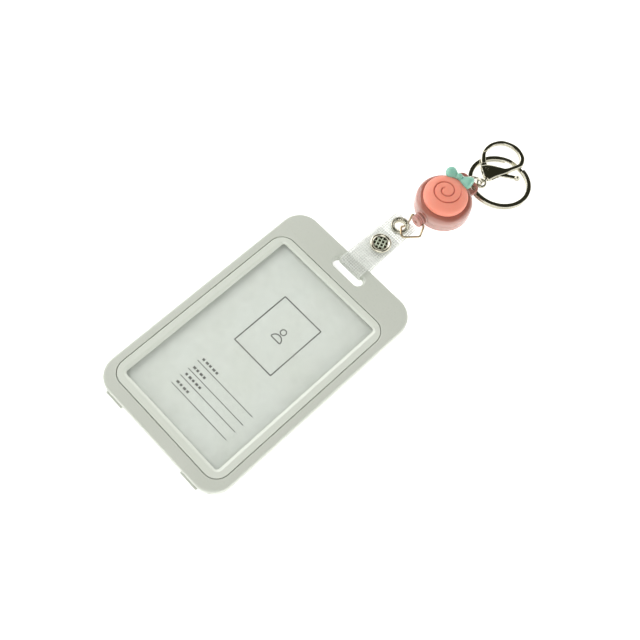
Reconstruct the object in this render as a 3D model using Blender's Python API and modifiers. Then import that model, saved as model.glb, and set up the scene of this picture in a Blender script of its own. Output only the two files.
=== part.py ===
"""Badge reel on a split ring and swivel clasp, with its snap strap and a rigid slide-cover card holder.

Everything lies on the plane z = 0. The holder is straight along Y, and the reel's chain leans a little
to +X. Sizes are in millimetres in a frame whose y starts at the holder's near edge; point() turns them
into metres about the origin, which is the middle of the whole object's base.
"""
import math

import bmesh
import bpy
from mathutils import Matrix, Vector

MM = 0.001
GAP = 0.3                      # air between neighbouring pieces
FIT = 0.05                     # how far joined shapes sink into each other

# Whole object
NEAR_Y, FAR_Y = -0.7, 202.0    # tabs of the slide cover, tip of the clasp
MID_Y = (NEAR_Y + FAR_Y) / 2

# Card holder
HOLDER_W, HOLDER_L, HOLDER_T = 68.4, 110.3, 4.8
HOLDER_CORNER_R, HOLDER_EDGE_R = 9.5, 1.0
SLOT_X, SLOT_HALF, SLOT_Y0, SLOT_Y1 = 0.8, 8.0, 101.2, 106.1
BAR_BOTTOM = 1.2               # underside of the bar between the slot and the far edge
BEZEL_HALF, BEZEL_Y0, BEZEL_Y1, BEZEL_R = 30.3, 5.5, 96.2, 6.2
WINDOW_HALF, WINDOW_Y0, WINDOW_Y1 = 26.0, 9.8, 92.8
LEDGE_Z0, LEDGE_Z1 = 3.15, 3.7
POCKET_HALF, POCKET_Y1, POCKET_TOP = 31.3, 97.0, 2.55
LIP_HALF, LIP_TOP = 29.6, 0.45
CARD_W, CARD_L, CARD_T, CARD_Y0, CARD_Z0 = 54.0, 86.0, 0.8, 8.4, 1.5

# Strap: one vinyl band folded round the holder's bar and snapped on itself
STRAP_X0, STRAP_X1, STRAP_T = -5.7, 6.3, 0.6
STRAP_X = (STRAP_X0 + STRAP_X1) / 2
STRAP_END_Y, STRAP_END_R = 140.2, 3.0
FLAP_Y = 115.6                 # where the flap starts, past the bar
SNAP_X, SNAP_Y, SNAP_R = 1.0, 122.4, 4.55
SNAP_BAND_Z, SNAP_FLAP_Z = 1.9, 4.6        # mid heights of the two layers at the snap
EYELET_X, EYELET_Y, EYELET_Z = 0.1, 135.5, 3.0
EYELET_R, EYELET_HOLE_R = 4.0, 2.25

# Reel, about its own axis; its chain direction leans by REEL_LEAN from +Y towards +X
REEL_X, REEL_Y, REEL_LEAN = 4.75, 157.4, math.radians(5)
CASE_R, CASE_WALL, CASE_H, CASE_SPLIT = 12.27, 1.1, 7.5, 3.6
CASE_FLOOR, CASE_CEILING = 1.0, 6.3
POST_R, POST_TOP = 1.6, 6.0
CORD_Z, CORD_R = 3.6, 0.35
COLLAR_R, COLLAR_REACH = 3.3, 12.65        # cord collar's radius and its distance from the reel's axis
LUG_HALF, LUG_OUT, LUG_CORNER_R, LUG_Z0, LUG_Z1 = 5.8, 16.0, 3.0, 5.4, 7.0
LUG_SLOT_HALF, LUG_SLOT_IN, LUG_SLOT_OUT = 4.4, 12.6, 14.8
SPOOL_R, SPOOL_BORE = 10.6, POST_R + GAP
TOPPER_R, TOPPER_Z0, TOPPER_SIDE, TOPPER_TOP = 9.5, CASE_H + GAP, 9.5, 12.2
BOW_LEAN = math.radians(-11)   # the bow sits a little to the left of the chain
BEAD_R, BEAD_BACK, BEAD_L = 2.75, 12.95, 2.9
LOOP_WIRE_R = 0.45

# Rings and clasp
JUMP_CENTRE, JUMP_R, JUMP_WIRE_R = (6.6, 173.55, 4.6), 4.0, 0.55
JUMP_HEADING = Vector((0.75, 0.66, 0.0)).normalized()       # the ring stands upright along this
KEY_CENTRE, KEY_R, KEY_W, KEY_T = (14.1, 183.7, 2.75), 13.97, 1.9, 2.0
KEY_NORMAL = Vector((-0.05, 0.11, 1.0)).normalized()
EYE_X, EYE_Y, CLASP_Z = 9.6, 176.2, 4.6
EYE_R, EYE_HOLE_R = 2.3, 1.25
STEM_BORE_Y = 179.7            # middle of the clasp's bore for the swivel's stem
HOOK_HALF_T, HOOK_SLOT_HALF, GATE_HALF_T = 1.3, 0.75, 0.45
PIVOT = (6.6, 182.9)

parts = bpy.data.collections.new("badge_reel")


def point(x, y, z):
    """A place in the millimetre frame, as metres about the origin."""
    return Vector((x, y - MID_Y, z)) * MM


def reel_point(across, along, z, lean=REEL_LEAN):
    """A place across and along a direction from the reel's axis: the chain's, unless lean is given."""
    s, c = math.sin(lean), math.cos(lean)
    return point(REEL_X + along * s + across * c, REEL_Y + along * c - across * s, z)


def clear_scene():
    for obj in list(bpy.data.objects):
        bpy.data.objects.remove(obj, do_unlink=True)
    bpy.context.scene.collection.children.link(parts)


def material(name, colour, roughness, metallic=0.0, alpha=1.0):
    """A Principled material, shared by name."""
    if name in bpy.data.materials:
        return bpy.data.materials[name]
    mat = bpy.data.materials.new(name)
    mat.use_nodes = True
    shader = mat.node_tree.nodes["Principled BSDF"]
    shader.inputs["Base Color"].default_value = (*colour, 1.0)
    shader.inputs["Roughness"].default_value = roughness
    shader.inputs["Metallic"].default_value = metallic
    shader.inputs["Alpha"].default_value = alpha
    return mat


HOLDER_ABS = ("holder_abs", (0.62, 0.65, 0.60), 0.42)
CLEAR_VINYL = ("clear_vinyl", (0.86, 0.88, 0.86), 0.25, 0.0, 0.55)
WINDOW_CLEAR = ("window_clear", (0.9, 0.93, 0.9), 0.08, 0.0, 0.25)
CARD_STOCK = ("card_stock", (0.74, 0.78, 0.74), 0.55)
REEL_PINK = ("reel_pink", (0.62, 0.33, 0.29), 0.22)
BEAD_PINK = ("bead_pink", (0.66, 0.28, 0.24), 0.35)
CORAL = ("coral_resin", (0.90, 0.36, 0.25), 0.55)
MINT = ("mint_resin", (0.30, 0.62, 0.48), 0.5)
WHITE_ACETAL = ("white_acetal", (0.8, 0.8, 0.78), 0.4)
SPRING_STEEL = ("spring_steel", (0.35, 0.37, 0.4), 0.3, 1.0)
NYLON = ("nylon_cord", (0.78, 0.76, 0.72), 0.6)
NICKEL = ("nickel", (0.42, 0.42, 0.38), 0.18, 1.0)
BRASS_WIRE = ("brass_wire", (0.45, 0.36, 0.22), 0.28, 1.0)


def adopt(obj, name, spec, smooth_angle=35):
    """Name an object, move it to the parts, and give it its material and shading."""
    obj.name = name
    obj.data.name = name
    for group in list(obj.users_collection):
        group.objects.unlink(obj)
    parts.objects.link(obj)
    obj.data.materials.clear()
    obj.data.materials.append(material(*spec))
    if obj.type == "MESH" and smooth_angle:
        obj.data.shade_smooth()
        obj.data.set_sharp_from_angle(angle=math.radians(smooth_angle))
    return obj


def set_origin(obj, where):
    """Move an object's origin to a joint axis without moving its shape."""
    shift = Matrix.Translation(-(obj.matrix_world.inverted() @ where))
    obj.data.transform(shift)
    obj.matrix_world = obj.matrix_world @ shift.inverted()


def rounded_rect(x0, x1, y0, y1, r, steps=6):
    """Outline points of a rectangle with round corners, anticlockwise."""
    out = []
    for cx, cy, start in ((x1 - r, y1 - r, 0), (x0 + r, y1 - r, 90), (x0 + r, y0 + r, 180),
                          (x1 - r, y0 + r, 270)):
        for i in range(steps + 1):
            a = math.radians(start + 90 * i / steps)
            out.append((cx + r * math.cos(a), cy + r * math.sin(a)))
    return out


def smooth_path(points, steps, closed=False):
    """Catmull-Rom curve through points of any dimension, with steps pieces per span."""
    count = len(points)
    spans = count if closed else count - 1
    out = []

    def pick(i):
        return Vector(points[i % count] if closed else points[min(max(i, 0), count - 1)])

    for i in range(spans):
        a, b, c, d = (pick(i + k) for k in (-1, 0, 1, 2))
        for k in range(steps):
            t = k / steps
            out.append(0.5 * (2 * b + (c - a) * t + (2 * a - 5 * b + 4 * c - d) * t**2
                              + (3 * b - a - 3 * c + d) * t**3))
    if not closed:
        out.append(pick(count - 1))
    return out


def curve_object(name, splines, dimensions, cyclic):
    data = bpy.data.curves.new(name, "CURVE")
    data.dimensions = dimensions
    for points in splines:
        spline = data.splines.new("POLY")
        spline.points.add(len(points) - 1)
        for target, p in zip(spline.points, points):
            target.co = (*p, 1.0)
        spline.use_cyclic_u = cyclic
    obj = bpy.data.objects.new(name, data)
    parts.objects.link(obj)
    return obj


def to_mesh(obj):
    """Replace a curve or a modified object by its evaluated, welded mesh."""
    bpy.context.view_layer.update()
    mesh = bpy.data.meshes.new_from_object(obj.evaluated_get(bpy.context.evaluated_depsgraph_get()))
    made = bpy.data.objects.new(obj.name, mesh)
    made.matrix_world = obj.matrix_world.copy()
    parts.objects.link(made)
    bpy.data.objects.remove(obj, do_unlink=True)
    bm = bmesh.new()
    bm.from_mesh(mesh)
    bmesh.ops.remove_doubles(bm, verts=bm.verts, dist=1e-6)
    bmesh.ops.recalc_face_normals(bm, faces=bm.faces)
    bm.to_mesh(mesh)
    bm.free()
    return made


def plate(name, outlines, z0, z1, edge_r=0.0, edge_steps=1):
    """A flat piece in the millimetre frame from an outline and its holes, with optional rounded edges."""
    splines = [[(x * MM, (y - MID_Y) * MM, 0.0) for x, y in outline] for outline in outlines]
    obj = curve_object(name, splines, "2D", True)
    obj.data.fill_mode = "BOTH"
    obj.data.extrude = (z1 - z0) / 2 * MM - edge_r * MM
    if edge_r:
        obj.data.bevel_depth = edge_r * MM
        obj.data.bevel_resolution = edge_steps
        obj.data.offset = -edge_r * MM
    obj.location.z = (z0 + z1) / 2 * MM
    return to_mesh(obj)


def box(name, x0, x1, y0, y1, z0, z1):
    """A plain block in the millimetre frame."""
    bm = bmesh.new()
    bmesh.ops.create_cube(bm, size=1.0)
    size = Matrix.Diagonal((x1 - x0, y1 - y0, z1 - z0, 1.0 / MM)) * MM
    bmesh.ops.transform(bm, matrix=size, verts=bm.verts)
    mesh = bpy.data.meshes.new(name)
    bm.to_mesh(mesh)
    bm.free()
    obj = bpy.data.objects.new(name, mesh)
    obj.location = point((x0 + x1) / 2, (y0 + y1) / 2, (z0 + z1) / 2)
    parts.objects.link(obj)
    return obj


def cylinder(name, radius, length, centre, direction, segments=24):
    """A cylinder in metres about a centre, with its axis along a direction."""
    bm = bmesh.new()
    bmesh.ops.create_cone(bm, cap_ends=True, segments=segments, radius1=radius * MM, radius2=radius * MM,
                          depth=length * MM)
    mesh = bpy.data.meshes.new(name)
    bm.to_mesh(mesh)
    bm.free()
    obj = bpy.data.objects.new(name, mesh)
    turn = Vector((0, 0, 1)).rotation_difference(Vector(direction)).to_matrix().to_4x4()
    obj.matrix_world = Matrix.Translation(centre) @ turn
    parts.objects.link(obj)
    return obj


def turned(name, profile, centre, steps=48, axis=(0, 0, 1), loop=False):
    """A turned piece: (radius, height) points in millimetres run down the outer side, and round if loop."""
    mesh = bpy.data.meshes.new(name)
    bm = bmesh.new()
    verts = [bm.verts.new((r * MM, 0.0, h * MM)) for r, h in profile]
    ends = verts + verts[:1] if loop else verts
    for a, b in zip(ends, ends[1:]):
        bm.edges.new((a, b))
    bm.to_mesh(mesh)
    bm.free()
    obj = bpy.data.objects.new(name, mesh)
    screw = obj.modifiers.new("turn", "SCREW")
    screw.axis = "Z"
    screw.steps = screw.render_steps = steps
    screw.use_merge_vertices = True
    screw.merge_threshold = 1e-6
    turn = Vector((0, 0, 1)).rotation_difference(Vector(axis)).to_matrix().to_4x4()
    obj.matrix_world = Matrix.Translation(centre) @ turn
    parts.objects.link(obj)
    return to_mesh(obj)


def wire(name, points, radius, cyclic=False):
    """A round wire through points given in metres."""
    obj = curve_object(name, [points], "3D", cyclic)
    obj.data.bevel_depth = radius * MM
    obj.data.bevel_resolution = 2
    obj.data.use_fill_caps = not cyclic
    return to_mesh(obj)


def combine(obj, other, operation):
    """Boolean, exact and applied; the second object is used up."""
    bpy.context.view_layer.update()
    mod = obj.modifiers.new(operation.lower(), "BOOLEAN")
    mod.operation = operation
    mod.solver = "EXACT"
    mod.object = other
    name = obj.name
    made = to_mesh(obj)
    bpy.data.objects.remove(other, do_unlink=True)
    made.name = name
    return made


def union(first, *others):
    for other in others:
        first = combine(first, other, "UNION")
    return first


def cut(first, *others):
    for other in others:
        first = combine(first, other, "DIFFERENCE")
    return first


# ---------------------------------------------------------------- card holder

def make_holder_frame():
    outer = rounded_rect(-HOLDER_W / 2, HOLDER_W / 2, 0, HOLDER_L, HOLDER_CORNER_R, 8)
    slot_r = (SLOT_Y1 - SLOT_Y0) / 2 - 0.01
    slot = rounded_rect(SLOT_X - SLOT_HALF, SLOT_X + SLOT_HALF, SLOT_Y0, SLOT_Y1, slot_r, 6)
    frame = plate("holder_frame", [outer, slot], 0, HOLDER_T, HOLDER_EDGE_R, 1)
    recess = rounded_rect(-BEZEL_HALF - GAP, BEZEL_HALF + GAP, BEZEL_Y0 - GAP, BEZEL_Y1 + GAP, BEZEL_R + GAP)
    opening = 0.6               # how far the ledge stands back from the bezel's inner edge
    frame = cut(
        frame,
        box("mouth", -LIP_HALF, LIP_HALF, -5, POCKET_Y1, -1, POCKET_TOP),
        box("channel", -POCKET_HALF, POCKET_HALF, -5, POCKET_Y1, LIP_TOP, POCKET_TOP),
        box("film_seat", -29.5, 29.5, 7.0, 96.5, POCKET_TOP - 0.5, LEDGE_Z0),
        box("window", -WINDOW_HALF - opening, WINDOW_HALF + opening, WINDOW_Y0 - opening,
            WINDOW_Y1 + opening, 2.0, 6.0),
        plate("recess", [recess], LEDGE_Z1, 6.0),
        box("strap_relief", SLOT_X - 8.4, SLOT_X + 8.4, SLOT_Y0 + 1, HOLDER_L + 5, -1, BAR_BOTTOM),
    )
    return adopt(frame, "holder_frame", HOLDER_ABS)


def make_bezel():
    outer = rounded_rect(-BEZEL_HALF, BEZEL_HALF, BEZEL_Y0, BEZEL_Y1, BEZEL_R)
    inner = rounded_rect(-WINDOW_HALF - 0.3, WINDOW_HALF + 0.3, WINDOW_Y0 - 0.3, WINDOW_Y1 + 0.3, 1.0, 3)
    return adopt(plate("window_bezel", [outer, inner], LEDGE_Z1 + GAP, HOLDER_T, 0.25), "window_bezel",
                 HOLDER_ABS)


def make_film_and_card():
    film = rounded_rect(-29.2, 29.2, 7.3, 96.2, 1.5, 3)
    adopt(plate("window_film", [film], 2.6, 2.85), "window_film", WINDOW_CLEAR)
    card = rounded_rect(-CARD_W / 2, CARD_W / 2, CARD_Y0, CARD_Y0 + CARD_L, 3.0, 4)
    adopt(plate("card_insert", [card], CARD_Z0, CARD_Z0 + CARD_T), "card_insert", CARD_STOCK)


def make_slide_cover():
    """The back cover slides out at the near edge and carries the card inside a low rim."""
    edge = LIP_HALF - GAP
    flange = POCKET_HALF - GAP
    panel = box("slide_cover", -edge, edge, 0, POCKET_Y1 - GAP, 0, 1.2)
    rim = plate("rim", [
        rounded_rect(-28.7, 28.7, 6.8, 96.0, 4.0, 3),
        rounded_rect(-27.3, 27.3, CARD_Y0 - GAP, CARD_Y0 + CARD_L + GAP, 3.0, 3),
    ], 1.2 - FIT, 1.9)
    tabs = [box("tab", side * 21.5 - 4.5, side * 21.5 + 4.5, NEAR_Y, 1.0, 0.6, 1.9) for side in (-1, 1)]
    cover = union(
        panel,
        box("flange", -flange, flange, 0.1, POCKET_Y1 - GAP - 0.1, LIP_TOP + GAP, 1.15),
        box("end_wall", -flange + 0.1, flange - 0.1, 0.05, 1.6, LIP_TOP + GAP + 0.05, POCKET_TOP - GAP),
        rim,
    )
    inside = rounded_rect(-HOLDER_W / 2 + 0.1, HOLDER_W / 2 - 0.1, 0.1, HOLDER_L, HOLDER_CORNER_R, 6)
    cover = union(combine(cover, plate("inside", [inside], -1, 4), "INTERSECT"), *tabs)
    return adopt(cover, "slide_cover", HOLDER_ABS)


# ---------------------------------------------------------------- strap and snap

def strap_width(y):
    """Half width of the strap at y, with its end's corners rounded."""
    past = y - (STRAP_END_Y - STRAP_END_R)
    half = (STRAP_X1 - STRAP_X0) / 2
    if past <= 0:
        return half
    return half - STRAP_END_R + math.sqrt(max(STRAP_END_R**2 - past**2, 0.04))


def ribbon(name, path, width):
    """A strip across X along a (y, z) path, thickened to the strap's thickness."""
    bm = bmesh.new()
    rows = []
    for y, z in path:
        half = width(y)
        rows.append([bm.verts.new(point(STRAP_X + half * k, y, z)) for k in (-1, 0, 1)])
    for a, b in zip(rows, rows[1:]):
        for i in (0, 1):
            bm.faces.new((a[i], a[i + 1], b[i + 1], b[i]))
    mesh = bpy.data.meshes.new(name)
    bm.to_mesh(mesh)
    bm.free()
    obj = bpy.data.objects.new(name, mesh)
    parts.objects.link(obj)
    solid = obj.modifiers.new("thickness", "SOLIDIFY")
    solid.thickness = STRAP_T * MM
    solid.offset = 0.0
    return to_mesh(obj)


def make_strap():
    """The band runs from over the bar, down through the slot, under the bar and out to the eyelet."""
    fold_y = SLOT_Y1 - 0.95
    band = smooth_path([(FLAP_Y - GAP, 4.84), (113.2, 5.2), (111.0, 5.42), (108.0, 5.42), (106.2, 5.36),
                        (fold_y + 0.3, 4.95), (fold_y, 4.1), (fold_y, 2.4), (fold_y + 0.25, 1.2),
                        (106.2, 0.6),
                        (107.5, 0.5), (112.5, 0.6), (115.5, 1.35), (SNAP_Y - 4.6, SNAP_BAND_Z),
                        (SNAP_Y, SNAP_BAND_Z), (SNAP_Y + 4.4, SNAP_BAND_Z), (129.4, 2.5),
                        (EYELET_Y - 4.4, EYELET_Z), (EYELET_Y, EYELET_Z),
                        (STRAP_END_Y - STRAP_END_R, EYELET_Z)], 2)
    end = [(STRAP_END_Y - STRAP_END_R * (1 - math.sin(math.radians(a))), EYELET_Z) for a in (30, 55, 75, 90)]
    lower = ribbon("strap_band", band + [Vector(p) for p in end], strap_width)
    lower = cut(lower,
                cylinder("post_hole", 1.5, 2, point(SNAP_X, SNAP_Y, SNAP_BAND_Z), (0, 0, 1)),
                cylinder("eyelet_hole", 2.95, 6, point(EYELET_X, EYELET_Y, EYELET_Z), (0, 0, 1)))
    adopt(lower, "strap_band", CLEAR_VINYL)

    top = smooth_path([(FLAP_Y, 4.8), (SNAP_Y - 4.6, SNAP_FLAP_Z), (SNAP_Y, SNAP_FLAP_Z),
                       (128.5, SNAP_FLAP_Z)], 2)
    upper = ribbon("strap_flap", top, lambda y: (STRAP_X1 - STRAP_X0) / 2)
    upper = cut(upper, cylinder("cap_hole", 1.5, 2, point(SNAP_X, SNAP_Y, SNAP_FLAP_Z), (0, 0, 1)))
    set_origin(upper, point(STRAP_X, FLAP_Y, 4.8))
    adopt(upper, "strap_flap", CLEAR_VINYL)


def make_snap():
    """Cap and socket on the flap, stud and post on the band, all on one line."""
    at = point(SNAP_X, SNAP_Y, 0)
    flap_top, flap_bottom = SNAP_FLAP_Z + STRAP_T / 2, SNAP_FLAP_Z - STRAP_T / 2
    band_top, band_bottom = SNAP_BAND_Z + STRAP_T / 2, SNAP_BAND_Z - STRAP_T / 2
    cap = flap_top + GAP
    adopt(turned("snap_cap", [(0, cap + 0.75), (3.3, cap + 0.7), (3.7, cap + 1.0), (4.2, cap + 0.95),
                              (SNAP_R, cap + 0.5), (SNAP_R, cap), (1.2, cap), (1.2, flap_bottom),
                              (0, flap_bottom)], at, 28), "snap_cap", NICKEL)
    socket = flap_bottom - GAP
    adopt(turned("snap_socket", [(1.8, socket), (3.3, socket), (3.6, socket - 0.3), (3.6, socket - 0.7),
                                 (2.6, socket - 0.8), (1.8, socket - 0.6)], at, 24, loop=True),
          "snap_socket", NICKEL)
    stud = band_top + GAP
    adopt(turned("snap_stud", [(0, stud + 1.4), (1.0, stud + 1.35), (1.4, stud + 1.0), (1.15, stud + 0.55),
                               (1.3, stud + 0.35), (3.3, stud + 0.3), (3.4, stud), (0, stud)], at, 24),
          "snap_stud", NICKEL)
    post = band_bottom - GAP
    adopt(turned("snap_post", [(0, band_top - 0.1), (1.2, band_top - 0.1), (1.2, post), (3.9, post),
                               (4.2, post - 0.3), (4.0, post - 0.6), (0, post - 0.8)], at, 24),
          "snap_post", NICKEL)


def make_eyelet():
    at = point(EYELET_X, EYELET_Y, 0)
    top, bottom = EYELET_Z + STRAP_T / 2 + GAP, EYELET_Z - STRAP_T / 2 - GAP
    barrel = 2.95 - GAP
    adopt(turned("eyelet_front", [(EYELET_HOLE_R, top + 0.25), (2.9, top + 0.5), (3.6, top + 0.4),
                                  (EYELET_R, top + 0.1), (EYELET_R, top), (barrel, top),
                                  (barrel, bottom - 0.5), (EYELET_HOLE_R, bottom - 0.5)], at, 28, loop=True),
          "eyelet_front", NICKEL)
    adopt(turned("eyelet_back", [(2.95, bottom), (3.9, bottom), (3.9, bottom - 0.25), (3.4, bottom - 0.5),
                                 (2.95, bottom - 0.5)], at, 24, loop=True), "eyelet_back", NICKEL)


# ---------------------------------------------------------------- wire loop, bead and cord

def make_wire_loop():
    """Bent wire from one side of the bead, through the eyelet, back to the bead's other side."""
    in_bead = BEAD_BACK + BEAD_L - 1.3
    right = reel_point(BEAD_R - 0.9, -in_bead, CORD_Z) / MM
    left = reel_point(0.9 - BEAD_R, -in_bead, CORD_Z) / MM
    outside = BEAD_R + 0.75
    right_out = reel_point(outside, -in_bead, CORD_Z) / MM
    left_out = reel_point(-outside, -in_bead, CORD_Z) / MM
    route = [right, right_out]
    for x, y, z in ((8.2, 140.4, 3.6), (8.9, 138.9, 3.6), (9.3, 138.0, 3.7), (8.9, 136.9, 3.9),
                    (7.3, 134.4, 4.6),
                    (5.7, 132.3, 5.0), (4.7, 131.7, 5.1), (3.5, 132.1, 5.1), (2.0, 133.7, 5.0),
                    (1.2, 134.9, 4.6), (0.9, 135.9, 3.4), (0.7, 136.3, 2.2), (0.5, 137.2, 1.15),
                    (0.2, 139.2, 1.1), (-0.1, 141.0, 1.9)):
        route.append(point(x, y, z) / MM)
    route += [left_out, left]
    path = [p * MM for p in smooth_path(route, 2)]
    obj = wire("wire_loop", path, LOOP_WIRE_R)
    set_origin(obj, reel_point(0, -in_bead, CORD_Z))
    adopt(obj, "wire_loop", BRASS_WIRE)


def chain_axis():
    return (reel_point(0, -1, 0) - reel_point(0, 0, 0)).normalized()


def make_bead_and_cord():
    """Ribbed bead on the cord's end; its heights run outward from the reel along the cord."""
    at = reel_point(0, 0, CORD_Z)
    back, front = BEAD_BACK, BEAD_BACK + BEAD_L
    profile = [(0.75, front), (BEAD_R - 0.4, front), (BEAD_R, front - 0.3)]
    for i in range(3):
        foot = front - 0.75 - i * 0.7
        profile += [(BEAD_R, foot), (BEAD_R - 0.35, foot - 0.12), (BEAD_R - 0.35, foot - 0.28),
                    (BEAD_R, foot - 0.4)]
    profile += [(BEAD_R + 0.1, back), (0.75, back)]
    bead = turned("cord_bead", profile, at, 24, chain_axis(), loop=True)
    hinge = back + BEAD_L - 1.3
    across = reel_point(1, 0, 0) - reel_point(0, 0, 0)
    for side in (-1, 1):
        bead = cut(bead, cylinder("wire_hole", 0.8, 2.4, reel_point(side * (BEAD_R + 0.1), -hinge, CORD_Z),
                                  across, 16))
    adopt(bead, "cord_bead", BEAD_PINK)
    inner, outer = 10.9, front - 0.3
    tail = wire("cord_tail", [reel_point(0, -inner - (outer - inner) * i / 6, CORD_Z) for i in range(7)],
                CORD_R)
    adopt(tail, "cord_tail", NYLON)


# ---------------------------------------------------------------- reel

def collar_half(z0, z1):
    """The half of the cord collar between two heights."""
    at = reel_point(0, 0, CORD_Z)
    collar = turned("collar", [(0, COLLAR_REACH), (COLLAR_R - 0.3, COLLAR_REACH),
                               (COLLAR_R, COLLAR_REACH - 0.3),
                               (COLLAR_R - 0.5, COLLAR_REACH - 1.2), (COLLAR_R - 0.5, 11.5), (0, 11.5)],
                    at, 30, chain_axis())
    keep = box("keep", REEL_X - 8, REEL_X + 8, REEL_Y - 16, REEL_Y - 8, z0, z1)
    return combine(collar, keep, "INTERSECT")


def cord_bore():
    return cylinder("cord_bore", CORD_R + GAP, 5, reel_point(0, -12.4, CORD_Z), chain_axis(), 16)


def make_case():
    at = reel_point(0, 0, 0)
    inner = CASE_R - CASE_WALL
    low, high = CASE_SPLIT - GAP / 2, CASE_SPLIT + GAP / 2
    back = turned("case_back", [(0, POST_TOP), (POST_R - 0.2, POST_TOP), (POST_R, POST_TOP - 0.2),
                                (POST_R, CASE_FLOOR),
                                (inner, CASE_FLOOR), (inner, low), (CASE_R, low), (CASE_R, 0.7),
                                (CASE_R - 0.7, 0), (0, 0)], at, 48)
    back = cut(union(back, collar_half(0.35, low - FIT)), cord_bore())
    set_origin(back, at)
    adopt(back, "case_back", REEL_PINK)

    shoulder = [(CASE_R - 1.85, CASE_H), (CASE_R - 0.95, 7.2), (CASE_R - 0.37, 6.5), (CASE_R - 0.07, 5.4),
                (CASE_R, 4.3)]
    front = turned("case_front", [(0, CASE_H), *shoulder, (CASE_R, high), (inner, high),
                                  (inner, CASE_CEILING),
                                  (0, CASE_CEILING)], at, 48)
    front = cut(union(front, collar_half(high + FIT, 7.0), make_lug()), cord_bore())
    set_origin(front, at)
    adopt(front, "case_front", REEL_PINK)


def make_lug():
    """Flat lug behind the reel with a cross slot, drawn along the chain and turned into place."""
    outer = rounded_rect(-LUG_HALF, LUG_HALF, 9.0, LUG_OUT, LUG_CORNER_R, 5)
    slot = rounded_rect(-LUG_SLOT_HALF, LUG_SLOT_HALF, LUG_SLOT_IN, LUG_SLOT_OUT, 0.8, 4)
    lug = plate("lug", [[(x, y + MID_Y) for x, y in o] for o in (outer, slot)], LUG_Z0, LUG_Z1, 0.3)
    turn = Matrix.Rotation(-REEL_LEAN, 4, "Z")
    lug.matrix_world = Matrix.Translation(reel_point(0, 0, 0)) @ turn @ lug.matrix_world
    bpy.context.view_layer.update()
    core = cylinder("core", 11.3, 12, reel_point(0, 0, 6), (0, 0, 1), 48)
    return cut(lug, core)


def make_topper():
    rise = TOPPER_TOP - TOPPER_SIDE
    dome = [(TOPPER_R * math.sin(math.radians(a)), TOPPER_SIDE + rise * math.cos(math.radians(a)))
            for a in range(0, 91, 15)]
    obj = turned("medallion", dome + [(TOPPER_R, TOPPER_Z0 + 0.3), (TOPPER_R - 0.3, TOPPER_Z0),
                                      (0, TOPPER_Z0)],
                 reel_point(0, 0, 0), 40)
    adopt(obj, "medallion", CORAL)


def blob(name, centre, size, yaw=0.0, segments=16):
    """A rounded lump with its half sizes in millimetres."""
    bm = bmesh.new()
    bmesh.ops.create_uvsphere(bm, u_segments=segments, v_segments=segments // 2, radius=MM)
    bmesh.ops.transform(bm, matrix=Matrix.Diagonal((*size, 1.0)), verts=bm.verts)
    mesh = bpy.data.meshes.new(name)
    bm.to_mesh(mesh)
    bm.free()
    obj = bpy.data.objects.new(name, mesh)
    obj.matrix_world = Matrix.Translation(centre) @ Matrix.Rotation(yaw, 4, "Z")
    parts.objects.link(obj)
    return obj


def make_bow():
    """A bow on the case's rim, behind the topper, hollowed where the topper stands."""
    z, tilt = 10.3, 0.2

    def at(across, along, height=z):
        return reel_point(across, along, height, BOW_LEAN)

    lobe = (2.7, 2.4, 1.9)
    bow = union(
        blob("bow", at(0.0, 10.7), (1.5, 1.5, 1.6), -BOW_LEAN, 14),
        blob("lobe", at(-3.5, 10.3), lobe, tilt - BOW_LEAN),
        blob("lobe", at(3.5, 10.3), lobe, -tilt - BOW_LEAN),
        cylinder("foot", 1.2, 1.6, at(0, 10.6, 8.6), (0, 0, 1), 16),
    )
    hollow = cylinder("hollow", TOPPER_R + GAP, 12, reel_point(0, 0, TOPPER_Z0 + 6), (0, 0, 1), 40)
    return adopt(cut(bow, hollow), "bow", MINT)


def make_spool():
    at = reel_point(0, 0, 0)
    adopt(turned("spool", [(SPOOL_BORE, 6.0), (3.0, 6.0), (3.0, 5.6), (SPOOL_R, 5.6), (SPOOL_R, 4.9),
                           (8.0, 4.9),
                           (8.0, 2.4), (SPOOL_R, 2.4), (SPOOL_R, 2.0), (7.3, 2.0), (7.3, 4.9),
                           (SPOOL_BORE, 4.9)],
                 at, 36, loop=True), "spool", WHITE_ACETAL)
    adopt(turned("spool_cover", [(SPOOL_BORE, 1.7), (SPOOL_R - 0.2, 1.7), (SPOOL_R - 0.2, 1.3),
                                 (SPOOL_BORE, 1.3)],
                 at, 32, loop=True), "spool_cover", WHITE_ACETAL)
    adopt(turned("cord_winding", [(8.3, 4.6), (10.0, 4.6), (10.2, 4.4), (10.2, 2.9), (10.0, 2.7),
                                  (8.3, 2.7)],
                 at, 32, loop=True), "cord_winding", NYLON)


def make_power_spring():
    """Flat spiral spring in the spool's cavity, from the post outwards."""
    turns, start, end, z0, z1 = 4.5, POST_R + 0.45, 6.8, 2.1, 4.5
    steps = int(turns * 14)
    bm = bmesh.new()
    rows = []
    for i in range(steps + 1):
        t = i / steps
        angle, r = turns * 2 * math.pi * t, start + (end - start) * t
        rows.append([bm.verts.new((r * MM * math.cos(angle), r * MM * math.sin(angle), z * MM))
                     for z in (z0, z1)])
    for a, b in zip(rows, rows[1:]):
        bm.faces.new((a[0], b[0], b[1], a[1]))
    mesh = bpy.data.meshes.new("power_spring")
    bm.to_mesh(mesh)
    bm.free()
    obj = bpy.data.objects.new("power_spring", mesh)
    obj.location = reel_point(0, 0, 0)
    parts.objects.link(obj)
    solid = obj.modifiers.new("strip", "SOLIDIFY")
    solid.thickness = 0.25 * MM
    solid.offset = 0.0
    adopt(to_mesh(obj), "power_spring", SPRING_STEEL)


# ---------------------------------------------------------------- rings and clasp

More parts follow.
